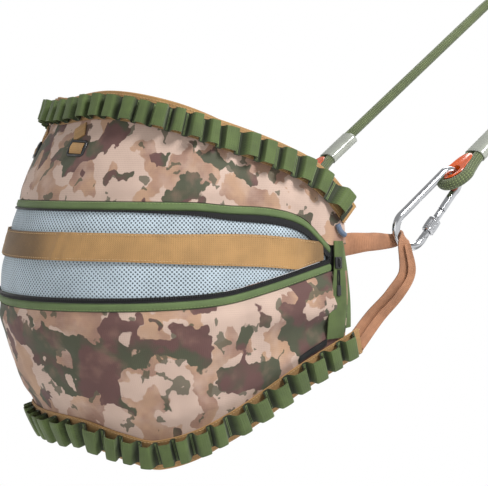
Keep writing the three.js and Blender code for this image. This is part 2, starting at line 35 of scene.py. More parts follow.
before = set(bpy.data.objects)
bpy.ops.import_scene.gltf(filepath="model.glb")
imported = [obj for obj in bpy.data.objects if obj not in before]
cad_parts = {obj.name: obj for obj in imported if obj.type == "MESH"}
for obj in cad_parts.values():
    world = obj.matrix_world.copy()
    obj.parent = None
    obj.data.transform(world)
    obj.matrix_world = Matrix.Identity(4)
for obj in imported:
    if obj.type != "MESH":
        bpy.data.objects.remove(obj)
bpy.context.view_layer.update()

MM = 0.001
TAU = 2 * math.pi
QUARTER = math.pi / 2
UP = Vector((0, 0, 1))

# Overall shape, in millimetres like every length below, until a mesh is made.
HIP_BACK = 180
HIP_SIDE = 180
SIDE_ARC = 270
FRONT_REACH = 160
FRONT_CURL = 18
FRONT = SIDE_ARC + FRONT_REACH

LAYER = 0.9
PANEL = 4
LINING = 1.5
BELT = 1.8
BELT_WIDTH = 34
WEB = 1.6
WEB_WIDTH = 25.4
LOOP_PITCH = 24
LOOP_RISE = 12
BINDING = 9
BINDING_OUT = 1.2
ZIP = 5
MESH_OUT = -1
MESH = 5
ZIP_END = 404
GUSSET_END = 398
MIDDLE_END = 384
STRAP = 25.4
STRAP_AT = FRONT - 15
REAR_STRAP = 20
BRIDGE = 3.2
TAB_WIDTH = 20
TAB_AT = 58
SLIDER_AT = FRONT - 18
HARDWARE_Y = 158

TUCKS = (
    (-260, 70, 35), (-190, 42, 22), (-130, 18, 9), (-55, 0, 0), (45, 23, 10), (140, 66, 28), (175, 76, 32),
)
UPPER_LINE = ((0, 145), (90, 149), (180, 138), (270, 117), (370, 84), (410, 59), (442, 24))
LOWER_LINE = ((0, -199), (80, -200), (135, -212), (180, -219), (270, -196), (370, -144), (462, -107))
UPPER_ZIP = ((0, 41), (225, 40), (270, 36.5), (330, 32), (370, 20), (402, -8))
LOWER_ZIP = ((0, -58), (135, -56), (225, -53), (270, -49), (330, -37), (370, -28), (402, -21))
MIDDLE_LINE = ((0, 1), (135, 2), (225, 0), (300, -3), (350, -8), (402, -15))


def smooth_curve(rows, column=1):
    """A smooth function through rows, straight past its last one."""
    last = len(rows) - 1

    def at(x):
        if x <= rows[0][0]:
            return rows[0][column]
        if x >= rows[last][0]:
            slope = (rows[last][column] - rows[last - 1][column]) / (rows[last][0] - rows[last - 1][0])
            return rows[last][column] + slope * (x - rows[last][0])
        i = max(n for n in range(last) if x >= rows[n][0])
        before, start, end, after = rows[max(i - 1, 0)], rows[i], rows[i + 1], rows[min(i + 2, last)]
        run = end[0] - start[0]
        rise = end[column] - start[column]
        slope_start = 0 if i == 0 else (end[column] - before[column]) / (end[0] - before[0])
        slope_end = (after[column] - start[column]) / (after[0] - start[0])
        t = (x - start[0]) / run
        bend = t * (1 - t) * ((slope_start * run - rise) * (1 - t) - (slope_end * run - rise) * t)
        return start[column] + rise * t + bend

    return at


back_tuck = smooth_curve(TUCKS, 1)
side_tuck = smooth_curve(TUCKS, 2)
upper_line = smooth_curve(UPPER_LINE)
lower_line = smooth_curve(LOWER_LINE)
upper_zip = smooth_curve(UPPER_ZIP)
lower_zip = smooth_curve(LOWER_ZIP)
middle_line = smooth_curve(MIDDLE_LINE)


def face(station, z):
    """The saddle's outer face: station runs round it from the middle of the back, left positive."""
    back = HIP_BACK - back_tuck(z)
    side = HIP_SIDE - side_tuck(z)
    along = abs(station)
    hand = -1 if station < 0 else 1
    if along <= SIDE_ARC:
        turn = along / SIDE_ARC * QUARTER
        return Vector((-back * math.cos(turn), hand * side * math.sin(turn), z))
    reach = along - SIDE_ARC
    return Vector((reach, hand * (side - FRONT_CURL * (reach / FRONT_REACH) ** 2), z))


def wall_normal(station, z):
    along = face(station + 1, z) - face(station - 1, z)
    rise = face(station, z + 1) - face(station, z - 1)
    return rise.cross(along).normalized()


def wall(station, z, lift=0.0):
    return face(station, z) + wall_normal(station, z) * lift


def beside(line, distance):
    """The height line that runs at a distance above another, measured square to it."""
    return lambda along: line(along) + distance * math.hypot(1, (line(along + 1) - line(along - 1)) / 2)


def upper_panel_low(along):
    return upper_zip(min(along, ZIP_END)) + BINDING + 0.3


def lower_panel_high(along):
    return lower_zip(min(along, ZIP_END)) - BINDING - 0.3


upper_edge = beside(upper_line, BELT_WIDTH / 2 - 1)
lower_edge = beside(lower_line, 1 - BELT_WIDTH / 2)
belt_foot = beside(upper_line, -BELT_WIDTH / 2 - 1.4)
label_foot = beside(lower_line, BELT_WIDTH / 2 + 1)


def spread(count, low, high):
    return [low + (high - low) * i / count for i in range(count + 1)]


def step_between(low, high, x):
    t = min(max((x - low) / (high - low), 0.0), 1.0)
    return t * t * (3 - 2 * t)


def ripple(x, y, size, seed=0.0):
    """Smooth noise from -1 to 1 with features of about that size."""
    return noise.noise(Vector((x / size, y / size, seed)))


# --- Materials -----------------------------------------------------------------------------------

def opaque(colour):
    return tuple(colour) + (1,)


def add_node(tree, kind, inputs=None, **values):
    """A node with its settings in values and its inputs linked or set."""
    node = tree.nodes.new(kind)
    for name, value in values.items():
        setattr(node, name, value)
    for key, value in (inputs or {}).items():
        if isinstance(value, bpy.types.NodeSocket):
            tree.links.new(value, node.inputs[key])
        else:
            node.inputs[key].default_value = value
    return node


def calc(tree, operation, a, b=0.0, clamp=False):
    return add_node(tree, "ShaderNodeMath", {0: a, 1: b}, operation=operation, use_clamp=clamp).outputs[0]


def ramp(tree, value, low, high, to_low=0.0, to_high=1.0):
    node = add_node(tree, "ShaderNodeMapRange", {
        "Value": value, "From Min": low, "From Max": high, "To Min": to_low, "To Max": to_high,
    }, interpolation_type="SMOOTHSTEP")
    return node.outputs[0]


def mix_colour(tree, share, first, second, blend="MIX"):
    node = add_node(tree, "ShaderNodeMix", {0: share, 6: first, 7: second}, data_type="RGBA", blend_type=blend)
    return node.outputs[2]


def cloud(tree, vector, scale, detail=2.0, rough=0.5, distort=0.0, offset=0.0):
    if offset:
        vector = add_node(tree, "ShaderNodeVectorMath", {0: vector, 1: (offset, offset * 1.7, 0)}).outputs[0]
    return add_node(tree, "ShaderNodeTexNoise", {
        "Vector": vector, "Scale": scale, "Detail": detail, "Roughness": rough, "Distortion": distort,
    }).outputs[0]


def new_group(name, inputs, outputs):
    group = bpy.data.node_groups.new(name, "ShaderNodeTree")
    for title, kind, value in inputs:
        socket = group.interface.new_socket(title, in_out="INPUT", socket_type=kind)
        if value is not None:
            socket.default_value = value
    for title, kind in outputs:
        group.interface.new_socket(title, in_out="OUTPUT", socket_type=kind)
    return group, group.nodes.new("NodeGroupInput").outputs, group.nodes.new("NodeGroupOutput").inputs


def weave_group():
    """Plain weave on cloth coordinates: thread heights and a painted shade for the gaps between the threads."""
    if "Weave" in bpy.data.node_groups:
        return bpy.data.node_groups["Weave"]
    group, given, out = new_group("Weave", [
        ("Cloth", "NodeSocketVector", None),
        ("Warp", "NodeSocketFloat", 0.0012),
        ("Weft", "NodeSocketFloat", 0.0012),
        ("Twill", "NodeSocketFloat", 0.0),
    ], [("Height", "NodeSocketFloat"), ("Shade", "NodeSocketFloat")])
    axes = add_node(group, "ShaderNodeSeparateXYZ", {0: given["Cloth"]}).outputs
    slant = calc(group, "MULTIPLY", axes[1], given["Twill"])
    u = calc(group, "DIVIDE", calc(group, "ADD", axes[0], slant), given["Warp"])
    v = calc(group, "DIVIDE", axes[1], given["Weft"])
    wave_u = calc(group, "SINE", calc(group, "MULTIPLY", u, TAU))
    wave_v = calc(group, "SINE", calc(group, "MULTIPLY", v, TAU))
    both = calc(group, "MULTIPLY", wave_u, wave_v)
    fuzz = cloud(group, given["Cloth"], 900, 2)
    height = calc(group, "ADD", calc(group, "MULTIPLY", both, 0.5), calc(group, "MULTIPLY", wave_u, 0.35))
    height = calc(group, "ADD", height, calc(group, "MULTIPLY", fuzz, 0.4))
    group.links.new(ramp(group, height, -0.7, 0.9), out["Height"])
    # This shade is painted shade: darker where the threads lie low.
    group.links.new(ramp(group, height, -0.8, 0.3, 0.72, 1.0), out["Shade"])
    return group


def wear_group():
    """Slow colour changes: fading, handling and dust."""
    if "Wear" in bpy.data.node_groups:
        return bpy.data.node_groups["Wear"]
    group, given, out = new_group("Wear", [
        ("Cloth", "NodeSocketVector", None),
        ("Scale", "NodeSocketFloat", 30.0),
        ("Amount", "NodeSocketFloat", 0.2),
    ], [("Shade", "NodeSocketFloat"), ("Dust", "NodeSocketFloat")])
    patches = cloud(group, given["Cloth"], given["Scale"], 4, 0.6)
    low = calc(group, "SUBTRACT", 1.0, given["Amount"])
    span = ramp(group, patches, 0.3, 0.7)
    lift = calc(group, "MULTIPLY", span, calc(group, "SUBTRACT", 1.0, low))
    group.links.new(calc(group, "ADD", low, lift), out["Shade"])
    fine = cloud(group, given["Cloth"], 260, 5, 0.7, offset=3.0)
    group.links.new(ramp(group, fine, 0.56, 0.8), out["Dust"])
    return group


def camo_group():
    """Printed camouflage: soft tan and brown ground, crisp pale blobs, and lobed green and maroon patches."""
    if "Camouflage" in bpy.data.node_groups:
        return bpy.data.node_groups["Camouflage"]
    group, given, out = new_group("Camouflage", [
        ("Cloth", "NodeSocketVector", None),
        ("Scale", "NodeSocketFloat", 1.0),
        ("Seed", "NodeSocketFloat", 0.0),
        ("Dark share", "NodeSocketFloat", 0.5),
        ("Pale", "NodeSocketColor", None),
        ("Brown", "NodeSocketColor", None),
        ("Tan", "NodeSocketColor", None),
        ("Green", "NodeSocketColor", None),
        ("Maroon", "NodeSocketColor", None),
    ], [("Color", "NodeSocketColor")])
    shift = add_node(group, "ShaderNodeCombineXYZ", {0: given["Seed"], 1: given["Seed"], 2: given["Seed"]})
    place = add_node(group, "ShaderNodeVectorMath", {0: given["Cloth"], 1: shift.outputs[0]}).outputs[0]
    scaled = add_node(group, "ShaderNodeVectorMath", {0: place, 3: given["Scale"]}, operation="SCALE").outputs[0]
    # Lobed, spiky edges: the coordinates are pushed about by finer noises before the patches are cut.
    lobed = scaled
    for scale, reach in ((48, 0.022), (130, 0.0055)):
        push = add_node(group, "ShaderNodeTexNoise",
                        {"Vector": scaled, "Scale": scale, "Detail": 2, "Roughness": 0.6})
        centred = add_node(group, "ShaderNodeVectorMath", {0: push.outputs[1], 1: (0.5, 0.5, 0.5)},
                           operation="SUBTRACT")
        pushed = add_node(group, "ShaderNodeVectorMath", {0: centred.outputs[0], 3: reach}, operation="SCALE")
        lobed = add_node(group, "ShaderNodeVectorMath", {0: lobed, 1: pushed.outputs[0]}).outputs[0]
    soft = ramp(group, cloud(group, lobed, 26, 3, offset=7.7), 0.36, 0.66)
    ground = mix_colour(group, soft, given["Brown"], given["Tan"])
    soft = ramp(group, cloud(group, scaled, 34, 3, offset=5.1), 0.45, 0.75, 0.0, 0.6)
    ground = mix_colour(group, soft, ground, given["Pale"])
    blobs = ramp(group, cloud(group, lobed, 25, 1.5, offset=2.3), 0.50, 0.512)
    ground = mix_colour(group, blobs, ground, given["Pale"])
    tone = ramp(group, cloud(group, lobed, 24, 1.5, offset=17.9), 0.44, 0.56)
    darks = mix_colour(group, tone, given["Maroon"], given["Green"])
    worn = ramp(group, cloud(group, scaled, 40, 3, offset=29.3), 0.52, 0.74, 0.0, 0.35)
    darks = mix_colour(group, worn, darks, given["Brown"])
    edge = calc(group, "SUBTRACT", 1.05, given["Dark share"])
    dark = calc(group, "SUBTRACT", cloud(group, lobed, 22, 1.5, offset=11.1), edge)
    bits = ramp(group, cloud(group, lobed, 52, 1.0, offset=23.3), 0.64, 0.65, 0.0, 0.8)
    with_bits = mix_colour(group, bits, ground, given["Green"])
    group.links.new(mix_colour(group, ramp(group, dark, -0.004, 0.004), with_bits, darks), out["Color"])
    return group


def cloth_vector(tree):
    return add_node(tree, "ShaderNodeAttribute", attribute_name="cloth").outputs["Vector"]


def new_material(name):
    material = bpy.data.materials.new(name)
    material.use_nodes = True
    tree = material.node_tree
    return material, tree, tree.nodes["Principled BSDF"]


def fill_group(tree, group, inputs):
    return add_node(tree, "ShaderNodeGroup", inputs, node_tree=group)


def bump(tree, shader, height, strength, distance):
    node = add_node(tree, "ShaderNodeBump", {"Height": height, "Strength": strength, "Distance": distance})
    tree.links.new(node.outputs[0], shader.inputs["Normal"])


def shade(tree, colour, *factors):
    for factor in factors:
        colour = mix_colour(tree, 1.0, colour, factor, "MULTIPLY")
    return colour


def woven_material(name, colour, warp=0.0014, weft=0.0022, twill=0.0, wear=0.25, roughness=0.75, depth=0.0004,
                   painted_fold_shade=None, sheen=0.12):
    """The fold-shade argument is the painted shade deep in a fold, for cloth that carries a painted light level."""
    material, tree, shader = new_material(name)
    cloth = cloth_vector(tree)
    weave = fill_group(tree, weave_group(), {"Cloth": cloth, "Warp": warp, "Weft": weft, "Twill": twill})
    aged = fill_group(tree, wear_group(), {"Cloth": cloth, "Scale": 35.0, "Amount": wear})
    # The weave's factor is painted shade in the thread gaps; the wear's is real fading.
    tint = shade(tree, opaque(colour), weave.outputs["Shade"], aged.outputs["Shade"])
    # Painted shade: the colour darkens where the cloth's painted light level is low, deep in folds.
    if painted_fold_shade is not None:
        painted_light_level = add_node(tree, "ShaderNodeAttribute", attribute_name="painted_lightness").outputs["Fac"]
        tint = shade(tree, tint, ramp(tree, painted_light_level, 0.0, 1.0, painted_fold_shade, 1.0))
    pale = opaque(min(1.0, c * 1.5 + 0.003) for c in colour)
    tree.links.new(mix_colour(tree, calc(tree, "MULTIPLY", aged.outputs["Dust"], 0.25), tint, pale),
                   shader.inputs["Base Color"])
    rough = calc(tree, "ADD", roughness - 0.08, calc(tree, "MULTIPLY", weave.outputs["Height"], 0.16))
    tree.links.new(rough, shader.inputs["Roughness"])
    shader.inputs["Sheen Weight"].default_value = sheen
    shader.inputs["Sheen Roughness"].default_value = 0.5
    bump(tree, shader, weave.outputs["Height"], 0.6, depth)
    return material


def camo_material(name, palette, scale, seed, dark_share):
    material, tree, shader = new_material(name)
    cloth = cloth_vector(tree)
    print_colour = fill_group(tree, camo_group(), {
        "Cloth": cloth, "Scale": scale, "Seed": seed, "Dark share": dark_share,
        **{tone: opaque(value) for tone, value in palette.items()},
    }).outputs[0]
    weave = fill_group(tree, weave_group(), {"Cloth": cloth, "Warp": 0.0021, "Weft": 0.0021, "Twill": 0.9})
    aged = fill_group(tree, wear_group(), {"Cloth": cloth, "Scale": 18.0, "Amount": 0.14})
    # The weave's factor is painted shade in the thread gaps; the wear's is real fading.
    tree.links.new(shade(tree, print_colour, weave.outputs["Shade"], aged.outputs["Shade"]),
                   shader.inputs["Base Color"])
    rough = calc(tree, "ADD", 0.68, calc(tree, "MULTIPLY", weave.outputs["Height"], 0.15))
    tree.links.new(rough, shader.inputs["Roughness"])
    shader.inputs["Sheen Weight"].default_value = 0.08
    bump(tree, shader, weave.outputs["Height"], 0.45, 0.0003)
    return material


def air_mesh_material(colour, painted_hole_shade_colour, pitch):
    material, tree, shader = new_material("Air mesh")
    cloth = cloth_vector(tree)
    axes = add_node(tree, "ShaderNodeSeparateXYZ", {0: cloth}).outputs
    rows = [calc(tree, "COSINE", calc(tree, "MULTIPLY", axes[i], TAU / pitch)) for i in (0, 1)]
    lattice = calc(tree, "MULTIPLY", rows[0], rows[1])
    # The holes get a dark colour as painted shade inside the mesh's open cells.
    hole = ramp(tree, lattice, 0.34, 0.62)
    aged = fill_group(tree, wear_group(), {"Cloth": cloth, "Scale": 14.0, "Amount": 0.22})
    threads = cloud(tree, cloth, 1400, 2)
    # Painted shade: the knit darkens where its painted light level is low, towards the gusset's ends.
    painted_light_level = add_node(tree, "ShaderNodeAttribute", attribute_name="painted_lightness").outputs["Fac"]
    knit = shade(tree, opaque(colour), aged.outputs["Shade"], ramp(tree, threads, 0.3, 0.6, 0.82, 1.0),
                 ramp(tree, painted_light_level, 0.0, 1.0, 0.25, 1.0))
    tree.links.new(mix_colour(tree, hole, knit, opaque(painted_hole_shade_colour)), shader.inputs["Base Color"])
    shader.inputs["Roughness"].default_value = 0.7
    shader.inputs["Sheen Weight"].default_value = 0.1
    height = calc(tree, "SUBTRACT", 1.0, ramp(tree, lattice, -0.1, 0.5))
    bump(tree, shader, height, 0.9, 0.0012)
    return material


def rope_material(colour, fleck):
    material, tree, shader = new_material("Braided rope")
    cloth = cloth_vector(tree)
    axes = add_node(tree, "ShaderNodeSeparateXYZ", {0: cloth}).outputs
    pitch = 0.0060
    one = calc(tree, "SINE", calc(tree, "MULTIPLY", calc(tree, "ADD", axes[0], axes[1]), TAU / pitch))
    two = calc(tree, "SINE", calc(tree, "MULTIPLY", calc(tree, "SUBTRACT", axes[0], axes[1]), TAU / pitch))
    braid = calc(tree, "MULTIPLY", one, two)
    aged = fill_group(tree, wear_group(), {"Cloth": cloth, "Scale": 40.0, "Amount": 0.25})
    strands = mix_colour(tree, ramp(tree, braid, -0.5, 0.6), opaque(colour), opaque(fleck))
    # Painted shade in the recesses between the braid's strands.
    painted_gap_shade = ramp(tree, calc(tree, "ABSOLUTE", braid), 0.0, 0.3, 0.40, 1.0)
    tree.links.new(shade(tree, strands, painted_gap_shade, aged.outputs["Shade"]), shader.inputs["Base Color"])
    shader.inputs["Roughness"].default_value = 0.72
    shader.inputs["Sheen Weight"].default_value = 0.2
    bump(tree, shader, calc(tree, "ABSOLUTE", braid), 0.7, 0.0006)
    return material


def object_vector(tree):
    return add_node(tree, "ShaderNodeTexCoord").outputs["Object"]


def steel_material():
    material, tree, shader = new_material("Bright steel")
    place = object_vector(tree)
    aged = fill_group(tree, wear_group(), {"Cloth": place, "Scale": 60.0, "Amount": 0.12})
    tree.links.new(shade(tree, (0.60, 0.61, 0.63, 1), aged.outputs["Shade"]), shader.inputs["Base Color"])
    scratches = cloud(tree, place, 420, 3, 0.7)
    tree.links.new(ramp(tree, scratches, 0.35, 0.7, 0.10, 0.22), shader.inputs["Roughness"])
    shader.inputs["Metallic"].default_value = 1.0
    bump(tree, shader, scratches, 0.12, 0.0001)
    return material


def plastic_material(name, colour, roughness, coat=0.0, grain=300):
    material, tree, shader = new_material(name)
    place = object_vector(tree)
    aged = fill_group(tree, wear_group(), {"Cloth": place, "Scale": 70.0, "Amount": 0.18})
    tree.links.new(shade(tree, opaque(colour), aged.outputs["Shade"]), shader.inputs["Base Color"])
    texture = cloud(tree, place, grain, 3, 0.6)
    tree.links.new(ramp(tree, texture, 0.3, 0.7, roughness - 0.06, roughness + 0.08), shader.inputs["Roughness"])
    shader.inputs["Coat Weight"].default_value = coat
    shader.inputs["Coat Roughness"].default_value = 0.08
    bump(tree, shader, texture, 0.1, 0.0001)
    return material


def clear_material(colour):
    material, tree, shader = new_material("Clear sleeve")
    place = object_vector(tree)
    haze = cloud(tree, place, 60, 2, 0.5)
    tree.links.new(ramp(tree, haze, 0.35, 0.7, 0.70, 0.80), shader.inputs["Alpha"])
    aged = fill_group(tree, wear_group(), {"Cloth": place, "Scale": 50.0, "Amount": 0.12})
    tree.links.new(shade(tree, opaque(colour), aged.outputs["Shade"]), shader.inputs["Base Color"])
    shader.inputs["Roughness"].default_value = 0.16
    shader.inputs["Coat Weight"].default_value = 0.5
    bump(tree, shader, haze, 0.15, 0.0005)
    return material


MATERIALS = {}


def make_materials(colours):
    palette = {"Pale": colours.camo_pale, "Brown": colours.camo_brown, "Tan": colours.camo_tan,
               "Green": colours.camo_green, "Maroon": colours.camo_maroon}
    MATERIALS.update({
        "camo_upper": camo_material("Camouflage canvas, upper", palette, 1.05, 1.21, 0.50),
        "camo_lower": camo_material("Camouflage canvas, lower", palette, 0.98, 1.93, 0.54),
        "green": woven_material("Green webbing", colours.webbing, 0.0011, 0.0026, 0.0, 0.30),
        # The loop webbing and the middle belt carry painted shade in their folds and valleys.
        "loops": woven_material("Green loop webbing", colours.webbing, 0.0022, 0.0030, 0.0, 0.30, painted_fold_shade=0.22),
        "middle": woven_material("Tan middle belt", colours.belt, 0.0024, 0.0020, 0.0, 0.22, painted_fold_shade=0.40),
        "binding": woven_material("Green binding", colours.binding, 0.0013, 0.0013, 0.0, 0.2),
        "tan": woven_material("Tan belt", colours.belt, 0.0024, 0.0018, 0.0, 0.22),
        "bridge": woven_material("Bridge webbing", colours.bridge, 0.0020, 0.0016, 0.0, 0.35),
        "lining": woven_material("Lining knit", (0.05, 0.055, 0.045), 0.003, 0.003, 0.5, 0.25),
        "zip": woven_material("Zip tape", (0.005, 0.005, 0.006), 0.0008, 0.0008, 0.0, 0.3, 0.85, sheen=0.02),
        "label": woven_material("Plain black tab", (0.005, 0.005, 0.005), 0.0006, 0.0006, 0.0, 0.3, 0.6, sheen=0.02),
        # The dark second colour is painted shade for the air mesh's holes.
        "mesh": air_mesh_material(colours.air_mesh, (0.035, 0.045, 0.055), 0.0046),
        "rope": rope_material(colours.rope, tuple(c * 2.3 for c in colours.rope)),
        "steel": steel_material(),
        "thimble": plastic_material("Orange thimble", colours.thimble, 0.30, 0.3),
        "black": plastic_material("Black acetal", (0.012, 0.012, 0.013), 0.38, 0.1),
        "keeper": woven_material("Blue-grey cord", (0.13, 0.18, 0.27), 0.0016, 0.0016, 0.9, 0.25, 0.6),
        "clear": clear_material((0.42, 0.44, 0.38)),
        "thread_green": plastic_material("Green thread", (0.20, 0.27, 0.10), 0.6),
        "thread_tan": plastic_material("Tan thread", (0.55, 0.36, 0.18), 0.6),
    })


# --- Meshes --------------------------------------------------------------------------------------

def link(name, data):
    """A new object in the scene."""
    made = bpy.data.objects.new(name, data)
    bpy.context.scene.collection.objects.link(made)
    return made


def face_outwards(mesh):
    volume = sum(polygon.center.dot(polygon.normal) * polygon.area for polygon in mesh.polygons)
    if volume < 0:
        mesh.flip_normals()


def add_mesh(name, points, faces, material, body, stands_for=(), cloth=None, smooth=True):
    """A piece from points in millimetres. cloth gives each point's place on its flat cloth, in metres, and
    perhaps a painted light level for its colour, from 0 for painted shade deep in a fold to 1."""
    mesh = bpy.data.meshes.new(name)
    mesh.from_pydata([tuple(p * MM) for p in points], [], faces)
    mesh.validate()
    face_outwards(mesh)
    if cloth:
        store = mesh.attributes.new("cloth", "FLOAT_VECTOR", "POINT")
        store.data.foreach_set("vector", [value for row in cloth for value in (row[0], row[1], 0.0)])
        # A third cloth value is a painted light level: painted shade that darkens the colour deep in folds.
        if len(cloth[0]) > 2:
            mesh.attributes.new("painted_lightness", "FLOAT", "POINT").data.foreach_set("value", [row[2] for row in cloth])
    if smooth:
        mesh.shade_smooth()
    piece = link(name, mesh)
    mesh.materials.append(MATERIALS[material])
    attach(piece, body)
    if stands_for:
        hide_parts(*stands_for)
    return piece


BOX_FACES = ((0, 3, 2, 1), (4, 5, 6, 7), (0, 1, 5, 4), (1, 2, 6, 5), (2, 3, 7, 6), (3, 0, 4, 7))


def ring_faces(rings, ring, closed=False):
    faces = []
    for k in range(rings if closed else rings - 1):
        here, there = k * ring, (k + 1) % rings * ring
        for j in range(ring):
            n = (j + 1) % ring
            faces.append((here + j, here + n, there + n, there + j))
    return faces


def cap_faces(rings, ring):
    first = tuple(range(ring))[::-1]
    last = tuple(range((rings - 1) * ring, rings * ring))
    return [first, last]


def slab_faces(rings, rows):
    """Faces of a lofted slab: sections of rows outer points followed by as many inner ones, reversed."""
    ring = 2 * rows
    faces = ring_faces(rings, ring)
    end = (rings - 1) * ring
    for j in range(rows - 1):
        other = ring - 1 - j
        faces.append((j, other, other - 1, j + 1))
        faces.append((end + j, end + j + 1, end + other - 1, end + other))
    return faces


def slab(name, sections, material, body, stands_for=()):
    """A slab through sections. Each is (outer points, inner points, cloth coordinates of the outer ones)."""
    points, cloth = [], []
    for outer, inner, flat in sections:
        points += list(outer) + list(inner)[::-1]
        cloth += list(flat) + list(flat)[::-1]
    faces = [f[::-1] for f in slab_faces(len(sections), len(sections[0][0]))]
    piece = add_mesh(name, points, faces, material, body, stands_for, cloth)
    piece.data.set_sharp_from_angle(angle=math.radians(50))
    return piece


def wall_slab(name, end, low, high, rows, inside, outside, material, stands_for=(), columns=None, shape=None,
              painted_light_level=None):
    """A layer of the wall between two height lines, with an optional shape(station, height, share) on top."""
    columns = columns or int(end / 2)
    sections = []
    for station in spread(columns, -end, end):
        along = abs(station)
        outer, inner, flat = [], [], []
        for share in spread(rows, 0.0, 1.0):
            z = low(along) + (high(along) - low(along)) * share
            extra = shape(station, z, share) if shape else 0.0
            outer.append(wall(station, z, outside + extra))
            inner.append(wall(station, z, inside + extra * 0.8))
            # The third value is a painted light level for the colour: painted shade where it is low.
            flat.append((station * MM, z * MM, painted_light_level(station) if painted_light_level else 1.0))
        sections.append((outer, inner, flat))
    return slab(name, sections, material, "saddle", stands_for)


def band_point(line, station, offset, lift, lean=0.0):
    hand = -1 if station < 0 else 1
    along = abs(station)
    slope = (line(along + 1) - line(along - 1)) / 2 * hand
    norm = math.hypot(1, slope)
    return wall(station + lean - slope * offset / norm, line(along) + offset / norm, lift)


def band(name, line, end, width, inside, outside, material, stands_for=(), step=3.0, lift=None, rows=6,
         lean=None, painted_light_level=None):
    sections = []
    count = int(2 * end / step)
    for station in spread(count, -end, end):
        raised = lift(station) if lift else 0.0
        leaned = lean(station) if lean else 0.0
        outer, inner, flat = [], [], []
        for offset in spread(rows, -width / 2, width / 2):
            edge = 1 - 0.25 * step_between(0.86, 1.0, abs(offset) / (width / 2))
            thick = (outside - inside) * edge
            outer.append(band_point(line, station, offset, inside + raised + thick, leaned))
            inner.append(band_point(line, station, offset, inside + raised, leaned))
            # The third value is a painted light level for the colour: painted shade where it is low.
            flat.append((station * MM, offset * MM, painted_light_level(station) if painted_light_level else 1.0))
        sections.append((outer, inner, flat))
    return slab(name, sections, material, "saddle", stands_for)


STITCH_STEP = 3
STITCH_LENGTH = 2.4
STITCH_WIDTH = 0.7
STITCH_GAP = 1.4


def stitch_row(name, places, material):
    """Thread stitches along places: (position, outward normal) rows close together."""
    points, faces = [], []
    walked, next_at = 0.0, 0.0
    for (start, normal), (end, _) in zip(places, places[1:]):
        step = (end - start).length
        while step > 1e-6 and next_at <= walked + step:
            centre = start.lerp(end, (next_at - walked) / step)
            way = (end - start).normalized()
            side = way.cross(normal).normalized()
            base = len(points)
            for along, half in ((-0.5, 0.45), (-0.3, 1.0), (0.3, 1.0), (0.5, 0.45)):
                middle = centre + way * along * STITCH_LENGTH
                for turn in range(6):
                    angle = TAU * turn / 6
                    points.append(middle + side * math.cos(angle) * STITCH_WIDTH / 2 * half
                                  + normal * (math.sin(angle) * STITCH_WIDTH * 0.42 * half))
            faces += [tuple(base + i for i in f) for f in ring_faces(4, 6) + cap_faces(4, 6)]
            next_at += STITCH_LENGTH + STITCH_GAP
        walked += step
    return add_mesh(name, points, faces, material, "saddle")


def wall_stitches(name, end, height, lift, material):
    places = []
    for station in spread(int(2 * end / STITCH_STEP), -end, end):
        z = height(abs(station))
        places.append((wall(station, z, lift), wall_normal(station, z)))
    return stitch_row(name, places, material)


def band_stitches(name, line, end, offset, lift, material):
    places = []
    for station in spread(int(2 * end / STITCH_STEP), -end, end):
        places.append((band_point(line, station, offset, lift), wall_normal(station, line(abs(station)))))
    return stitch_row(name, places, material)


def frames_along(path, first_side):
    """A point, a way, a side and an up vector at each point of a path, without twist."""
    rows = []
    side = first_side.normalized()
    for i, point in enumerate(path):
        way = (path[min(i + 1, len(path) - 1)] - path[max(i - 1, 0)]).normalized()
        side = (side - way * side.dot(way)).normalized()
        rows.append((point, way, side, way.cross(side).normalized()))
    return rows


def catmull(points, per_span):
    """A centripetal curve through points, with so many steps in each span."""
    path = []
    padded = [points[0] * 2 - points[1], *points, points[-1] * 2 - points[-2]]
    for a, b, c, d in zip(padded, padded[1:], padded[2:], padded[3:]):
        t0 = 0.0
        t1 = t0 + max((b - a).length, 1e-6) ** 0.5
        t2 = t1 + max((c - b).length, 1e-6) ** 0.5
        t3 = t2 + max((d - c).length, 1e-6) ** 0.5
        for i in range(per_span):
            t = t1 + (t2 - t1) * i / per_span
            ab = a * ((t1 - t) / (t1 - t0)) + b * ((t - t0) / (t1 - t0))
            bc = b * ((t2 - t) / (t2 - t1)) + c * ((t - t1) / (t2 - t1))
            cd = c * ((t3 - t) / (t3 - t2)) + d * ((t - t2) / (t3 - t2))
            abc = ab * ((t2 - t) / (t2 - t0)) + bc * ((t - t0) / (t2 - t0))
            bcd = bc * ((t3 - t) / (t3 - t1)) + cd * ((t - t1) / (t3 - t1))
            path.append(abc * ((t2 - t) / (t2 - t1)) + bcd * ((t - t1) / (t2 - t1)))
    path.append(points[-1].copy())
    return path


def resample(path, step):
    lengths = [0.0]
    for a, b in zip(path, path[1:]):
        lengths.append(lengths[-1] + (b - a).length)
    count = max(2, int(lengths[-1] / step))
    made, k = [], 0
    for i in range(count + 1):
        want = lengths[-1] * i / count
        while k < len(lengths) - 2 and lengths[k + 1] < want:
            k += 1
        share = (want - lengths[k]) / max(lengths[k + 1] - lengths[k], 1e-9)
        made.append(path[k].lerp(path[k + 1], min(max(share, 0.0), 1.0)))
    return made


def tube(name, path, radius, sides, material, body, stands_for=(), side=UP, swell=None):
    """A round piece along a path. swell(along, angle) multiplies its radius."""
    points, cloth, along = [], [], 0.0
    rows = frames_along(path, side)
    for i, (point, _, first, second) in enumerate(rows):
        along += (point - rows[i - 1][0]).length if i else 0.0
        for k in range(sides):
            angle = TAU * k / sides
            reach = radius * (swell(along, angle) if swell else 1.0)
            points.append(point + first * math.cos(angle) * reach + second * math.sin(angle) * reach)
            fold = angle if angle <= math.pi else TAU - angle
            cloth.append((along * MM, fold * radius * MM))
    faces = ring_faces(len(rows), sides) + cap_faces(len(rows), sides)
    return add_mesh(name, points, faces, material, body, stands_for, cloth)


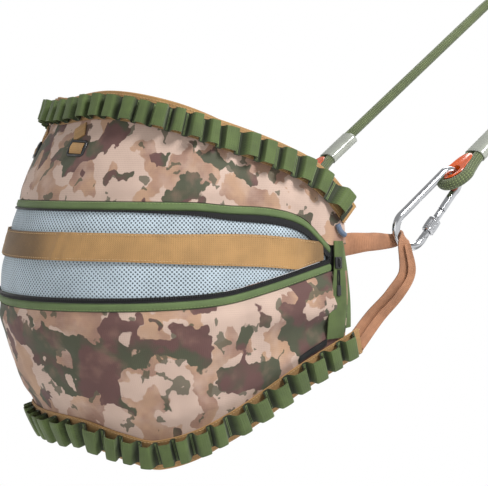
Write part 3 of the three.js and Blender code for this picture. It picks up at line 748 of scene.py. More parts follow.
def lathe(name, profile, start, axis, sides, material, body, stands_for=(), flute=None, side=None):
    """A turned piece: (radius, height) rows round an axis. flute(angle, height, radius) changes the radius."""
    axis = axis.normalized()
    side = (side or axis.orthogonal()).normalized()
    other = axis.cross(side)
    closed = profile[0] == profile[-1]
    rows = profile[:-1] if closed else profile
    points = []
    for k in range(sides):
        angle = TAU * k / sides
        out = side * math.cos(angle) + other * math.sin(angle)
        for radius, height in rows:
            reach = radius * (flute(angle, height, radius) if flute else 1.0)
            points.append(start + axis * height + out * reach)
    faces = []
    count = len(rows)
    for k in range(sides):
        for j in range(count if closed else count - 1):
            n = (j + 1) % count
            a, b = k * count, (k + 1) % sides * count
            faces.append((a + j, b + j, b + n, a + n))
    if not closed:
        faces.append(tuple(k * count for k in range(sides))[::-1])
        faces.append(tuple(k * count + count - 1 for k in range(sides)))
    piece = add_mesh(name, points, faces, material, body, stands_for)
    piece.data.set_sharp_from_angle(angle=math.radians(40))
    return piece


def strap(name, rows, material, body, stands_for=(), step=2.5, across=8, crown=0.0, ease=0):
    """A flat strap. Each row is (position, direction across, width, thickness)."""
    middle = resample(catmull([row[0] for row in rows], 12), step)
    for _ in range(ease):
        middle = [middle[0], *((a + b * 2 + c) / 4 for a, b, c in zip(middle, middle[1:], middle[2:])), middle[-1]]
    marks = [0.0]
    for a, b in zip(rows, rows[1:]):
        marks.append(marks[-1] + (b[0] - a[0]).length)
    sections = []
    for i, point in enumerate(middle):
        share = i / (len(middle) - 1) * marks[-1]
        k = max(n for n in range(len(rows) - 1) if share >= marks[n] - 1e-6)
        part = (share - marks[k]) / max(marks[k + 1] - marks[k], 1e-6)
        part = part * part * (3 - 2 * part)
        way = (middle[min(i + 1, len(middle) - 1)] - middle[max(i - 1, 0)]).normalized()
        width = rows[k][2] + (rows[k + 1][2] - rows[k][2]) * part
        thick = rows[k][3] + (rows[k + 1][3] - rows[k][3]) * part
        side = rows[k][1].lerp(rows[k + 1][1], part)
        side = (side - way * side.dot(way)).normalized()
        out = side.cross(way).normalized()
        outer, inner, flat = [], [], []
        for offset in spread(across, -width / 2, width / 2):
            edge = 1 - 0.45 * step_between(0.8, 1.0, abs(offset) / (width / 2))
            arch = out * crown * (1 - (2 * offset / width) ** 2)
            outer.append(point + side * offset + arch + out * thick / 2 * edge)
            inner.append(point + side * offset + arch - out * thick / 2 * edge)
            flat.append((share * MM, offset * MM))
        sections.append((outer, inner, flat))
    return slab(name, sections, material, body, stands_for)


# --- Carabiner and rope geometry -----------------------------------------------------------------

WIRE = 9.5
WIRE_R = WIRE / 2
CARABINER = 122
WIDE_BEND = 21
NARROW_BEND = 14
NARROW_SHIFT = -7
SPREAD = math.radians(7)
REACH = Vector((0.78, 0, 0.626)).normalized()
INWARD = Vector((REACH.z, 0, -REACH.x))
WIDE_END = Vector((231, 0, -1))
WIDE_CENTRE = WIRE_R + WIDE_BEND
NARROW_CENTRE = CARABINER - WIRE_R - NARROW_BEND
GATE_LENGTH = 46
NOSE_GAP = 0.6
GATE_R = 4.4
PIN_AT = 4
ROPE = 14
THIMBLE_BORE = 8.5
THIMBLE_WALL = 2.6
THIMBLE_HALF = 7.2
SLEEVE_LENGTH = 48
EYE_R = THIMBLE_BORE + THIMBLE_WALL + 0.6 + ROPE / 2
BEND_INSIDE = math.sqrt((NARROW_BEND - WIRE_R) ** 2 - THIMBLE_HALF ** 2)
THIMBLE_AT = NARROW_CENTRE + BEND_INSIDE - LAYER / 2 + THIMBLE_BORE
LEG = ROPE / 2 + 0.3
EYE_NECK = 36
EYE_LEGS = 70
ROPE_RUN = 335
SIDES = {"right": -1, "left": 1}


def on_carabiner(hand, length, across, out=0.0):
    """A point of a carabiner: along it, across towards its gate, and outwards from the wearer."""
    return WIDE_END + REACH * length + INWARD * across + Vector((0, hand * (HARDWARE_Y + out), 0))


def wide_bend(hand, turn):
    return on_carabiner(hand, WIDE_CENTRE - WIDE_BEND * math.cos(turn), WIDE_BEND * math.sin(turn))


def narrow_bend(hand, turn):
    across = NARROW_SHIFT + NARROW_BEND * math.sin(turn)
    return on_carabiner(hand, NARROW_CENTRE + NARROW_BEND * math.cos(turn), across)


def on_gate(hand, distance):
    start = wide_bend(hand, QUARTER + SPREAD)
    end = narrow_bend(hand, QUARTER + SPREAD)
    return start + (end - start).normalized() * distance


def on_eye(hand, length, out):
    centre = on_carabiner(hand, THIMBLE_AT, NARROW_SHIFT)
    return centre + REACH * length + Vector((0, hand * out, 0))


def rope_path():
    """The rope's middle, in millimetres, from the right eye up round the trunk and down to the left eye."""
    start = on_eye(-1, EYE_LEGS + 0.3, LEG)
    trunk = start + REACH * ROPE_RUN
    half = -trunk.y
    rising = [start.lerp(trunk, share) for share in spread(7, 0, 0.94)]
    bight = []
    for turn in spread(8, -QUARTER, QUARTER):
        bight.append(Vector((trunk.x, 0, trunk.z)) + REACH * half * math.cos(turn)
                     + Vector((0, half * math.sin(turn), 0)))
    falling = [Vector((p.x, -p.y, p.z)) for p in rising[::-1]]
    return catmull([*rising, *bight, *falling], 20)


# --- Settings shown in the panel -----------------------------------------------------------------

def colour_setting(name, description, default):
    return bpy.props.FloatVectorProperty(
        name=name, description=description, subtype="COLOR", size=3, min=0.0, max=1.0, default=default)


class SADDLE_PG_sizes(bpy.types.PropertyGroup):
    loop_rise: bpy.props.FloatProperty(
        name="Loop rise", description="How far the gear loops stand off their belt", unit="LENGTH",
        default=LOOP_RISE * MM)
    rope_diameter: bpy.props.FloatProperty(
        name="Rope diameter", description="Diameter of the climbing rope", unit="LENGTH", default=ROPE * MM)
    camera_distance: bpy.props.FloatProperty(
        name="Camera distance", description="From the camera to the hips", unit="LENGTH", default=1.5)
    lens: bpy.props.FloatProperty(
        name="Lens", description="Focal length in millimetres", default=94.57)


class SADDLE_PG_colours(bpy.types.PropertyGroup):
    camo_pale: colour_setting("Camouflage pale", "Pale blobs of the print", (0.52, 0.38, 0.31))
    camo_brown: colour_setting("Camouflage brown", "Pinkish brown of the print", (0.29, 0.165, 0.120))
    camo_tan: colour_setting("Camouflage tan", "Tan ground of the print", (0.44, 0.27, 0.17))
    camo_green: colour_setting("Camouflage green", "Green-grey patches", (0.062, 0.066, 0.036))
    camo_maroon: colour_setting("Camouflage maroon", "Maroon-brown patches", (0.115, 0.052, 0.046))
    webbing: colour_setting("Webbing", "Green loop webbing and straps", (0.082, 0.122, 0.029))
    binding: colour_setting("Binding", "Green tape along the zips", (0.105, 0.160, 0.052))
    belt: colour_setting("Belt", "Tan belts", (0.40, 0.225, 0.080))
    bridge: colour_setting("Bridge loops", "Tan-brown bridge webbing", (0.42, 0.195, 0.100))
    air_mesh: colour_setting("Air mesh", "Spacer mesh", (0.52, 0.62, 0.69))
    rope: colour_setting("Rope", "Braided rope", (0.075, 0.095, 0.036))
    thimble: colour_setting("Thimble", "Orange thimbles", (0.62, 0.085, 0.004))


def settings():
    return bpy.context.scene.saddle_sizes, bpy.context.scene.saddle_colours


# --- Operators -----------------------------------------------------------------------------------

CAMERA_AZIMUTH = -30
CAMERA_ELEVATION = 3
CAMERA_RIGHT = 0.103
CAMERA_DROP = 0.002
FLOOR_HALF = 0.9
FLOOR_Z = -0.62

class PieceOperator:
    """Shared by every operator: build() makes the pieces, in materials that the first one run makes."""
    bl_options = {"REGISTER", "UNDO"}

    def execute(self, context):
        sizes, colours = settings()
        if not MATERIALS:
            make_materials(colours)
        self.build(sizes, colours)
        return {"FINISHED"}


class SADDLE_OT_stage(PieceOperator, bpy.types.Operator):
    """Camera, floor and soft studio light"""
    bl_idname = "saddle.stage"
    bl_label = "Stage"

    def build(self, sizes, colours):
        azimuth, elevation = math.radians(CAMERA_AZIMUTH), math.radians(CAMERA_ELEVATION)
        back = Vector((math.sin(azimuth) * math.cos(elevation), -math.cos(azimuth) * math.cos(elevation),
                       math.sin(elevation)))
        right = Vector((math.cos(azimuth), math.sin(azimuth), 0))
        up = back.cross(right)
        camera_data = bpy.data.cameras.new("Camera")
        camera_data.lens = sizes.lens
        camera = link("Camera", camera_data)
        camera.matrix_world = Matrix((
            (right.x, up.x, back.x, 0), (right.y, up.y, back.y, 0), (right.z, up.z, back.z, 0), (0, 0, 0, 1)))
        camera.location = back * sizes.camera_distance + right * CAMERA_RIGHT - up * CAMERA_DROP
        bpy.context.scene.camera = camera
        self.floor()
        self.lights(back, right)

    def floor(self):
        material, tree, shader = new_material("Studio floor")
        place = object_vector(tree)
        tone = ramp(tree, cloud(tree, place, 3, 2), 0.3, 0.7, 0.90, 0.93)
        tree.links.new(add_node(tree, "ShaderNodeCombineColor", {0: tone, 1: tone, 2: tone}).outputs[0],
                       shader.inputs["Base Color"])
        shader.inputs["Roughness"].default_value = 0.9
        mesh = bpy.data.meshes.new("floor")
        corners = [(x * FLOOR_HALF, y * FLOOR_HALF, FLOOR_Z) for x, y in ((-1, -1), (1, -1), (1, 1), (-1, 1))]
        mesh.from_pydata(corners, [], [(0, 1, 2, 3)])
        mesh.materials.append(material)
        link("floor", mesh)

    def lights(self, back, right):
        world = bpy.data.worlds.new("Studio")
        world.use_nodes = True
        tree = world.node_tree
        way = add_node(tree, "ShaderNodeSeparateXYZ", {0: add_node(tree, "ShaderNodeTexCoord").outputs["Generated"]})
        above = ramp(tree, way.outputs[2], 0.15, 0.42, 1.0, 0.42)
        below = ramp(tree, way.outputs[2], -0.26, -0.5, 1.0, 0.42)
        tree.links.new(calc(tree, "MINIMUM", above, below), tree.nodes["Background"].inputs[1])
        tree.nodes["Background"].inputs[0].default_value = (1, 1, 1, 1)
        bpy.context.scene.world = world
        bpy.context.scene.view_settings.view_transform = "Standard"
        aim = Vector((0.05, 0, 0))
        for name, place, size, power in (
            ("Key", back * 1.0 + right * 1.1 + UP * 1.3, 0.6, 40),
            ("Fill", back * 1.4 - right * 1.2 + UP * 0.3, 1.4, 5),
            ("Rim", -back * 1.2 + right * 0.6 + UP * 1.3, 0.9, 14),
        ):
            light = bpy.data.lights.new(name, "AREA")
            light.size = size
            light.energy = power
            lamp = link(name, light)
            lamp.location = place
            lamp.rotation_euler = (aim - place).to_track_quat("-Z", "Y").to_euler()


class SADDLE_OT_rope(PieceOperator, bpy.types.Operator):
    """Braided rope from one eye round the trunk to the other"""
    bl_idname = "saddle.rope"
    bl_label = "Rope"

    def build(self, sizes, colours):
        radius = sizes.rope_diameter / MM / 2
        path = resample(rope_path(), 2.2)
        strands = 10

        def braid(along, angle):
            twist = along / 22 * TAU
            return 1 + 0.018 * math.sin(strands * angle / 2 + twist * 2) * math.sin(strands * angle / 2 - twist * 2)

        rope = tube("rope_braid", path, radius, 24, "rope", "rope_set", ["rope"], UP, braid)
        pieces = []
        for side, hand in SIDES.items():
            pieces += self.eye(side, hand, radius)

    def eye(self, side, hand, radius):
        half = [(EYE_LEGS, LEG), (EYE_LEGS - 20, LEG), (EYE_NECK, LEG + 0.1), (26, LEG + 2.4)]
        way = [on_eye(hand, length, out) for length, out in half]
        for degrees in spread(8, 52, 308):
            turn = math.radians(degrees)
            way.append(on_eye(hand, EYE_R * math.cos(turn), EYE_R * math.sin(turn)))
        way += [on_eye(hand, length, -out) for length, out in half[::-1]]
        path = resample(catmull(way, 16), 2.0)
        eye = tube(f"{side}_eye_braid", path, radius - 0.15, 22, "rope", "rope_set",
                   [f"{side}_rope_eye"], INWARD)
        bore, out = THIMBLE_BORE, THIMBLE_BORE + THIMBLE_WALL
        rim = out + 5.4
        profile = [(bore + 0.8, -THIMBLE_HALF), (rim - 0.5, -THIMBLE_HALF - 0.9), (rim, -THIMBLE_HALF - 0.2),
                   (rim - 1.4, -THIMBLE_HALF + 0.6), (out + 1.2, -5.6), (out, -4), (out, 4), (out + 1.2, 5.6),
                   (rim - 1.4, THIMBLE_HALF - 0.6), (rim, THIMBLE_HALF + 0.2), (rim - 0.5, THIMBLE_HALF + 0.9),
                   (bore + 0.8, THIMBLE_HALF), (bore, THIMBLE_HALF - 1), (bore, 0),
                   (bore, 1 - THIMBLE_HALF), (bore + 0.8, -THIMBLE_HALF)]
        centre = on_carabiner(hand, THIMBLE_AT, NARROW_SHIFT)

        def teardrop(angle, height, reach):
            return 1 + (0.95 * max(math.cos(angle), 0.0) ** 5 if reach > out + 1 else 0.0)

        thimble = lathe(f"{side}_thimble_ring", profile, centre, INWARD, 96, "thimble", "rope_set",
                        [f"{side}_thimble"], teardrop, REACH)
        sleeve = self.sleeve(side, hand)
        return [eye, thimble, sleeve]

    def sleeve(self, side, hand):
        """A clear tube round both legs of the eye, shrunk on so that it follows them."""
        points, outer_rings, sides = [], 26, 40
        centre_out = Vector((0, hand, 0))

        def ring(length, reach, span):
            made = []
            for k in range(sides):
                angle = TAU * k / sides
                across = math.cos(angle)
                shift = span * math.tanh(across * 4)
                made.append(on_eye(hand, length, 0) + centre_out * (shift + reach * across)
                            + INWARD * reach * math.sin(angle))
            return made

        wall_out = ROPE / 2 + 1.5
        for i, length in enumerate(spread(outer_rings - 1, EYE_NECK, EYE_NECK + SLEEVE_LENGTH)):
            share = i / (outer_rings - 1)
            pinch = 1 - 0.05 * math.sin(share * 31) ** 2
            points += ring(length, wall_out * pinch, LEG)
        for length in spread(outer_rings - 1, EYE_NECK + SLEEVE_LENGTH, EYE_NECK):
            points += ring(length, ROPE / 2 + 0.4, LEG)
        faces = ring_faces(2 * outer_rings, sides, closed=True)
        return add_mesh(f"{side}_clear_sleeve", points, faces, "clear", "rope_set",
                        [f"{side}_splice_sleeve"])


class SADDLE_OT_panels(PieceOperator, bpy.types.Operator):
    """Camouflage panels with their linings and piping"""
    bl_idname = "saddle.panels"
    bl_label = "Panels"

    def build(self, sizes, colours):
        for name, low, high, rows, amount in (
            ("upper", upper_panel_low, upper_edge, 34, 1.0),
            ("lower", lower_edge, lower_panel_high, 56, 1.6),
        ):
            def shape(station, z, share, name=name, amount=amount):
                belt_side = share if name == "lower" else 1 - share
                height = (upper_edge if name == "upper" else lower_panel_high)(abs(station))
                height -= (upper_panel_low if name == "upper" else lower_edge)(abs(station))
                clear = step_between(BELT_WIDTH, BELT_WIDTH + 22, belt_side * height)
                near_zip = step_between(0, 14, (1 - belt_side) * height)
                ends = step_between(FRONT - 4, FRONT - 62, abs(station))
                billow = 2.2 * amount
                folds = 1.5 * ripple(station, z * 2.2, 46, 4.0) + 0.7 * ripple(station, z, 17, 9.0)
                streak = self.streaks(station, z) if name == "lower" else 0.0
                return clear * near_zip * (ends * (billow + amount * folds) + streak)

            panel = wall_slab(f"{name}_canvas", FRONT, low, high, rows, -PANEL, 0, f"camo_{name}",
                              [f"{name}_panel"], shape=shape)
            lining_out = -PANEL - LAYER
            lining = wall_slab(f"{name}_lining_knit", FRONT, low, high, 12, lining_out - LINING, lining_out,
                               "lining", [f"{name}_lining"], columns=380, shape=self.quilt)
            tall = sum(high(s) - low(s) for s in range(0, FRONT, 10)) / (FRONT / 10) * MM
        for name, edge, hand in (("upper", upper_edge, 1), ("lower", lower_edge, -1)):
            path = []
            for station in spread(340, -FRONT, FRONT):
                path.append(wall(station, edge(abs(station)) + hand * 2.0, -1.7))
            tube(f"{name}_piping_cord", path, 1.75, 10, "tan", "saddle", [f"{name}_piping"])

    def quilt(self, station, z, share):
        """Channels sewn down the lining, flat at its edges and under the rear straps."""
        puff = abs(math.sin(math.pi * station / 52)) ** 0.6
        edges = step_between(0.0, 0.08, share) * step_between(1.0, 0.92, share)
        return -1.7 * puff * edges * step_between(405, 375, abs(station))

    def streaks(self, station, z):
        """Soft folds that fan out from the front straps over the lower panel."""
        along = abs(station)
        reach = step_between(200, 390, along) * step_between(FRONT, FRONT - 22, along)
        fan = (z + 76) / (0.9 + (FRONT - along) / 80)
        return reach * (4.0 * math.sin(fan / 8.5) + 1.6 * math.sin(fan / 4.1 + 1.3))


class SADDLE_OT_belts(PieceOperator, bpy.types.Operator):
    """Tan belts and the green webbing sewn into gear loops on them"""
    bl_idname = "saddle.belts"
    bl_label = "Belts and loops"

    def build(self, sizes, colours):
        rise = sizes.loop_rise / MM
        for name, line, end, loops, seed, shift, trim in (
            ("upper", upper_line, FRONT + 8, 36, 5, -1.5, 5), ("lower", lower_line, FRONT + 24, 37, 11, 2.5, -2),
        ):
            width = BELT_WIDTH - abs(trim)
            middle = beside(line, trim / 2)
            belt = band(f"{name}_belt_tan", middle, end, width, LAYER, LAYER + BELT, "tan",
                        [f"{name}_belt"], step=5)
            for offset in (-width / 2 + 1.8, width / 2 - 1.8):
                band_stitches(f"{name}_belt_stitches_{'low' if offset < 0 else 'high'}", middle, end, offset,
                              LAYER + BELT, "thread_tan")
            self.loops(name, line, loops, rise, seed, shift)

    def loops(self, name, line, loops, rise, seed, shift):
        draw = random.Random(seed)
        heights = [draw.uniform(0.78, 1.10) for _ in range(loops)]
        leans = [draw.uniform(-3.6, 3.6) for _ in range(loops)]
        flats = [draw.uniform(0.12, 0.22) for _ in range(loops)]
        span = loops * LOOP_PITCH / 2

        def place(station):
            phase = (station + span) / LOOP_PITCH
            number = min(int(phase), loops - 1)
            return number, min(phase - number, 1.0)

        def profile(station):
            number, t = place(station)
            slope = flats[number]
            top = step_between(0.13, 0.13 + slope, t) * step_between(0.87, 0.87 - slope, t)
            return heights[number] * (0.84 * top + 0.16 * math.sin(math.pi * t))

        def lean(station):
            number, t = place(station)
            return (leans[number] + 6 * (t - 0.5)) * profile(station)

        def centre(along):
            return beside(line, shift * step_between(90, 240, along))(along)

        base = LAYER + BELT + 0.3
        # Painted shade: the webbing's colour darkens in the valleys between the loops, following the loop profile.
        webbing = band(f"{name}_loops_green", centre, span, WEB_WIDTH, base, base + WEB, "loops",
                       [f"{name}_loop_webbing"], step=1.2,
                       lift=lambda s: rise * profile(s), lean=lean, painted_light_level=lambda s: min(profile(s) * 1.15, 1.0))
        points, faces = [], []
        for number in range(1, loops):
            station = -span + number * LOOP_PITCH
            self.bartack(points, faces, centre, station, base + WEB)
        add_mesh(f"{name}_bartacks", points, faces, "thread_green", "saddle")

    def bartack(self, points, faces, line, station, lift):
        """Two rows of thread across the webbing in the valley between two loops."""
        for side in (-0.7, 0.7):
            first = len(points)
            for offset in spread(10, -WEB_WIDTH / 2 + 1, WEB_WIDTH / 2 - 1):
                for turn in range(5):
                    angle = TAU * turn / 5
                    points.append(band_point(line, station + side + 0.35 * math.cos(angle), offset,
                                             lift + 0.1 + 0.3 * math.sin(angle)))
            faces += [tuple(first + i for i in f) for f in ring_faces(11, 5) + cap_faces(11, 5)]


class SADDLE_OT_gusset(PieceOperator, bpy.types.Operator):
    """Air-mesh gusset, middle belt, bindings and zips"""
    bl_idname = "saddle.gusset"
    bl_label = "Gusset and zips"

    def build(self, sizes, colours):
        def low(along):
            return lower_zip(along) + 0.6 + ZIP

        def high(along):
            return max(upper_zip(along) - 0.5, low(along) + 1)

        def shape(station, z, share):
            soft = math.sin(math.pi * min(max(share, 0.0), 1.0)) ** 0.7
            ends = step_between(GUSSET_END, GUSSET_END - 60, abs(station))
            belt = step_between(14, 24, abs(z - middle_line(abs(station))))
            return soft * ends * belt * (1.2 + 1.6 * ripple(station, z * 1.6, 38, 2.0))

        # Painted shade: the mesh's colour darkens towards its ends, where the zips close over it.
        mesh = wall_slab("air_mesh", GUSSET_END, low, high, 30, MESH_OUT - MESH, MESH_OUT, "mesh",
                         ["mesh_gusset"], columns=300, shape=shape,
                         painted_light_level=lambda s: 1 - 0.8 * step_between(330, 392, abs(s)))
        tall = sum(high(s) - low(s) for s in range(0, GUSSET_END, 10)) / (GUSSET_END / 10) * MM
        self.middle_belt(low, high)
        self.zips()

    def middle_belt(self, low, high):
        def slim(along):
            return 2.4 * step_between(300, 160, along)

        def belt_high(along):
            return min(middle_line(along) + BELT_WIDTH / 2 - slim(along), high(along) - 1)

        def belt_low(along):
            return max(middle_line(along) - BELT_WIDTH / 2 + slim(along), low(along) + 1)

        base = MESH_OUT + LAYER

        def shape(station, z, share):
            ends = step_between(MIDDLE_END + 9, MIDDLE_END - 30, abs(station))
            fold = 2.4 * math.exp(-((abs(station) - 352) / 8) ** 2)
            for crease, width, depth in ((78, 4, 1.6), (92, 6, 1.2), (108, 5, 0.7)):
                fold += depth * math.exp(-((abs(station) - crease - z / 4) / width) ** 2)
            return ends * (fold + 0.5 + 0.5 * ripple(station, z, 60, 7.0))

        # Painted shade for the belt's colour: darker near the middle of the back and towards its ends.
        def painted_light_level(station):
            along = abs(station)
            return step_between(20, 105, along) * (1 - 0.75 * step_between(350, 388, along))

        belt = wall_slab("middle_belt_tan", MIDDLE_END + 9, belt_low, belt_high, 10, base, base + BELT, "middle",
                         ["middle_belt"], columns=260, shape=shape, painted_light_level=painted_light_level)
        for name, line, inset in (("high", belt_high, -2), ("low", belt_low, 2)):
            wall_stitches(f"middle_belt_stitches_{name}", MIDDLE_END - 4, lambda a, f=line, i=inset: f(a) + i,
                          base + BELT + 0.9, "thread_tan")

    def zips(self):
        for name, line, hand in (("upper", upper_zip, 1), ("lower", lower_zip, -1)):
            def bind(along, share, line=line, hand=hand):
                return line(along) + hand * BINDING * share

            sections = []
            for station in spread(300, -ZIP_END, ZIP_END):
                along = abs(station)
                outer, inner, flat = [], [], []
                for share in spread(8, 0.0, 1.0) if hand > 0 else spread(8, 1.0, 0.0):
                    z = bind(along, share)
                    round_off = 1 - (2 * share - 1) ** 4
                    pucker = 0.25 * ripple(station, z, 6, 3.0)
                    outer.append(wall(station, z, -1.2 + (BINDING_OUT + 1.2 + pucker) * round_off))
                    inner.append(wall(station, z, -6.2))
                    flat.append((station * MM, z * MM))
                sections.append((outer, inner, flat))
            slab(f"{name}_binding_tape", sections, "binding", "saddle", [f"{name}_binding"])
            wall_stitches(f"{name}_binding_stitches", ZIP_END - 2, lambda a, b=bind: b(a, 0.78), BINDING_OUT + 0.05,
                          "thread_green")
            self.tape(name, line, hand)

        for side, hand in SIDES.items():
            sections = []
            for station in spread(8, hand * (ZIP_END - 12), hand * (FRONT - 1)):
                low, high = lower_panel_high(ZIP_END) - 2, upper_panel_low(ZIP_END) + 2
                heights = spread(6, low, high)
                sections.append(([wall(station, z, -3.4) for z in heights], [wall(station, z, -4.4) for z in heights],
                                 [(station * MM, z * MM) for z in heights]))
            slab(f"{side}_zip_garage", sections, "zip", "saddle")

    def tape(self, name, line, hand):
        """Black tape that widens towards the zips' meeting point, with its coil of teeth."""
        def width(along):
            wide = 1.6 + 6.5 * step_between(140, 330, along) if hand > 0 else ZIP
            closing = max((upper_zip(along) - lower_zip(along)) / 2 - 1.2, 1.0)
            return min(wide, closing)

        sections = []
        for station in spread(260, -ZIP_END, ZIP_END):
            along = abs(station)
            outer, inner, flat = [], [], []
            for share in spread(4, 0.0, 1.0):
                z = line(along) - hand * (0.3 + width(along) * share)
                outer.append(wall(station, z, 0.3 + 0.3 * share))
                inner.append(wall(station, z, -0.9 + 0.4 * share))
                flat.append((station * MM, z * MM))
            sections.append((outer, inner, flat))
        cloth = slab(f"{name}_zip_cloth", sections, "zip", "saddle", [f"{name}_zip_tape"])
        points, faces = [], []
        pitch = 2.4
        for number in range(int(2 * ZIP_END / pitch)):
            station = -ZIP_END + pitch * (number + 0.5)
            along = abs(station)
            z = line(along) - hand * (0.3 + width(along) - 0.8)
            first = len(points)
            for da, dz, lift in ((-0.75, -1.1, 0), (0.75, -1.1, 0), (0.75, 1.1, 0), (-0.75, 1.1, 0),
                                 (-0.45, -0.9, 1.1), (0.45, -0.9, 1.1), (0.45, 0.9, 1.1), (-0.45, 0.9, 1.1)):
                points.append(wall(station + da, z + dz, lift + 0.5))
            faces += [tuple(first + i for i in f) for f in BOX_FACES]
        add_mesh(f"{name}_zip_teeth", points, faces, "black", "saddle", smooth=False)


class SADDLE_OT_straps(PieceOperator, bpy.types.Operator):
    """Front straps, bridge loops, keepers, tabs and the plain label"""
    bl_idname = "saddle.straps"
    bl_label = "Straps"

    def build(self, sizes, colours):
        for side, hand in SIDES.items():
            self.end_strap(side, hand)
            self.rear_strap(side, hand)
            self.bridge(side, hand)
            self.keeper(side, hand)
            self.tab(side, hand)
        self.label()

    def wall_strap(self, name, rows, width, lift, thick, material, slot, stands_for, bend=None, taper=None):
        """A strap on the wall through (station, z) rows."""
        path = catmull([Vector((s, z, 0)) for s, z in rows], 14)
        sections = []
        for i, spot in enumerate(path):
            way = (path[min(i + 1, len(path) - 1)] - path[max(i - 1, 0)]).normalized()
            side = Vector((way.y, -way.x, 0))
            share = i / (len(path) - 1)
            outer, inner, flat = [], [], []
            for offset in spread(10, -width / 2, width / 2):
                place = spot + side * offset * (taper(share) if taper else 1.0)
                edge = 1 - 0.3 * step_between(0.85, 1.0, abs(offset) / (width / 2))
                extra = bend(share, offset) if bend else 0.0
                outer.append(wall(place.x, place.y, lift + extra + thick * edge))
                inner.append(wall(place.x, place.y, lift + extra))
                flat.append((share * 0.12, offset * MM))
            sections.append((outer, inner, flat))
        return slab(name, sections, material, "saddle", stands_for)

    def end_strap(self, side, hand):
        station = hand * STRAP_AT
        top = upper_panel_low(STRAP_AT) + 4
        foot = label_foot(FRONT - 2) - 4

        def bend(share, offset):
            return 1.6 * math.sin(math.pi * share) ** 2 + 0.5 * math.sin(share * 9 + offset / 9)

        strap_piece = self.wall_strap(
            f"{side}_end_webbing", [(station + hand * 2, top), (station, top - 30), (station - hand * 2, foot + 40),
                                    (station - hand * 2, foot)],
            STRAP, LAYER, WEB, "green", "green_webbing", [f"{side}_end_strap"], bend,
            lambda share: 0.50 + 0.56 * step_between(0.0, 0.9, share))

    def rear_strap(self, side, hand):
        lift = -PANEL - LAYER - LINING - LAYER - WEB
        rows = [(hand * (FRONT - 9), 24), (hand * (FRONT - 4), -10), (hand * (FRONT + 2), -55),
                (hand * (FRONT + 7), -98)]
        piece = self.wall_strap(f"{side}_rear_webbing", rows, REAR_STRAP, lift, WEB, "binding", "green_webbing",
                                [f"{side}_rear_strap"])

    def bridge(self, side, hand):
        """Webbing from the upper belt's end, folded through the carabiner, and down to the lower belt's."""
        rear_out = -PANEL - LAYER - LINING - LAYER
        inside = rear_out - WEB - 1.2 - BRIDGE / 2
        wrap = WIRE_R + 2.2 + BRIDGE / 2
        first, second = Vector((0.19, 0, -0.98)), Vector((0.91, 0, -0.41))
        rows = [
            (wall(hand * (FRONT - 10), -4, inside), first, STRAP, BRIDGE),
            (wall(hand * (FRONT + 16), 0, inside), first, STRAP, BRIDGE),
            (Vector((200, hand * (HARDWARE_Y - 0.5 - wrap + 2), 1)), first, 21, BRIDGE),
        ]
        for turn in spread(6, 0, math.pi):
            spot = on_carabiner(hand, WIRE_R + wrap * math.sin(turn), 0, -wrap * math.cos(turn))
            rows.append((spot, INWARD, 16, BRIDGE))
        rows += [
            (Vector((241, hand * (HARDWARE_Y - 2 + wrap), -34)), second, 21, BRIDGE),
            (Vector((229, hand * 157, -60)), second, 24, BRIDGE),
            (wall(hand * (SIDE_ARC + 212), -86, -BRIDGE + 1), second, 25, BRIDGE),
            (wall(hand * (SIDE_ARC + 182), -116, LAYER - 2.1 - BRIDGE / 2), second, STRAP, BRIDGE),
        ]
        piece = strap(f"{side}_bridge_webbing", rows, "bridge", "saddle",
                      [f"{side}_bridge_loop"], step=1.8, across=12, crown=1.6, ease=3)
        fold = [(spot + way * 5 + Vector((0, hand * (BRIDGE / 2 + 1.5), 0)), way, wide * 0.5, 1.4)
                for spot, way, wide, _ in rows[9:]]
        strap(f"{side}_bridge_fold", fold, "bridge", "saddle", step=1.8, across=8, crown=1.0,
              ease=3)

    def keeper(self, side, hand):
        rows = [(FRONT - 14, 22), (FRONT - 11, 15), (FRONT - 4, 9.5)]
        path = resample(catmull([wall(hand * s, z, LAYER / 2 + 3) for s, z in rows], 8), 1.0)
        tube(f"{side}_keeper_cord", path, 3.0, 14, "keeper", "saddle", [f"{side}_keeper"],
             swell=lambda along, angle: 1 + 0.04 * math.sin(along * 2.4 + angle * 3))

    def tab(self, side, hand):
        top = belt_foot(TAB_AT)
        rows = [(hand * 54, top), (hand * 57, top - 7), (hand * 60.3, top - 13.6)]
        piece = self.wall_strap(f"{side}_tab_webbing", rows, TAB_WIDTH, LAYER, WEB, "tan", "tan_belt",
                                [f"{side}_buckle_tab"], taper=lambda share: 1 - 0.12 * share)

    def label(self):
        sections = []
        for station in spread(30, -(FRONT - 30), -(FRONT - 68)):
            foot = label_foot(-station)
            outer, inner, flat = [], [], []
            for share in spread(5, 0.0, 1.0):
                z = foot + 7 * share
                outer.append(wall(station, z, LAYER + 1.6))
                inner.append(wall(station, z, LAYER))
                flat.append((station * MM, z * MM))
            sections.append((outer, inner, flat))
        piece = slab("right_label_tab", sections, "label", "saddle", ["right_label"])


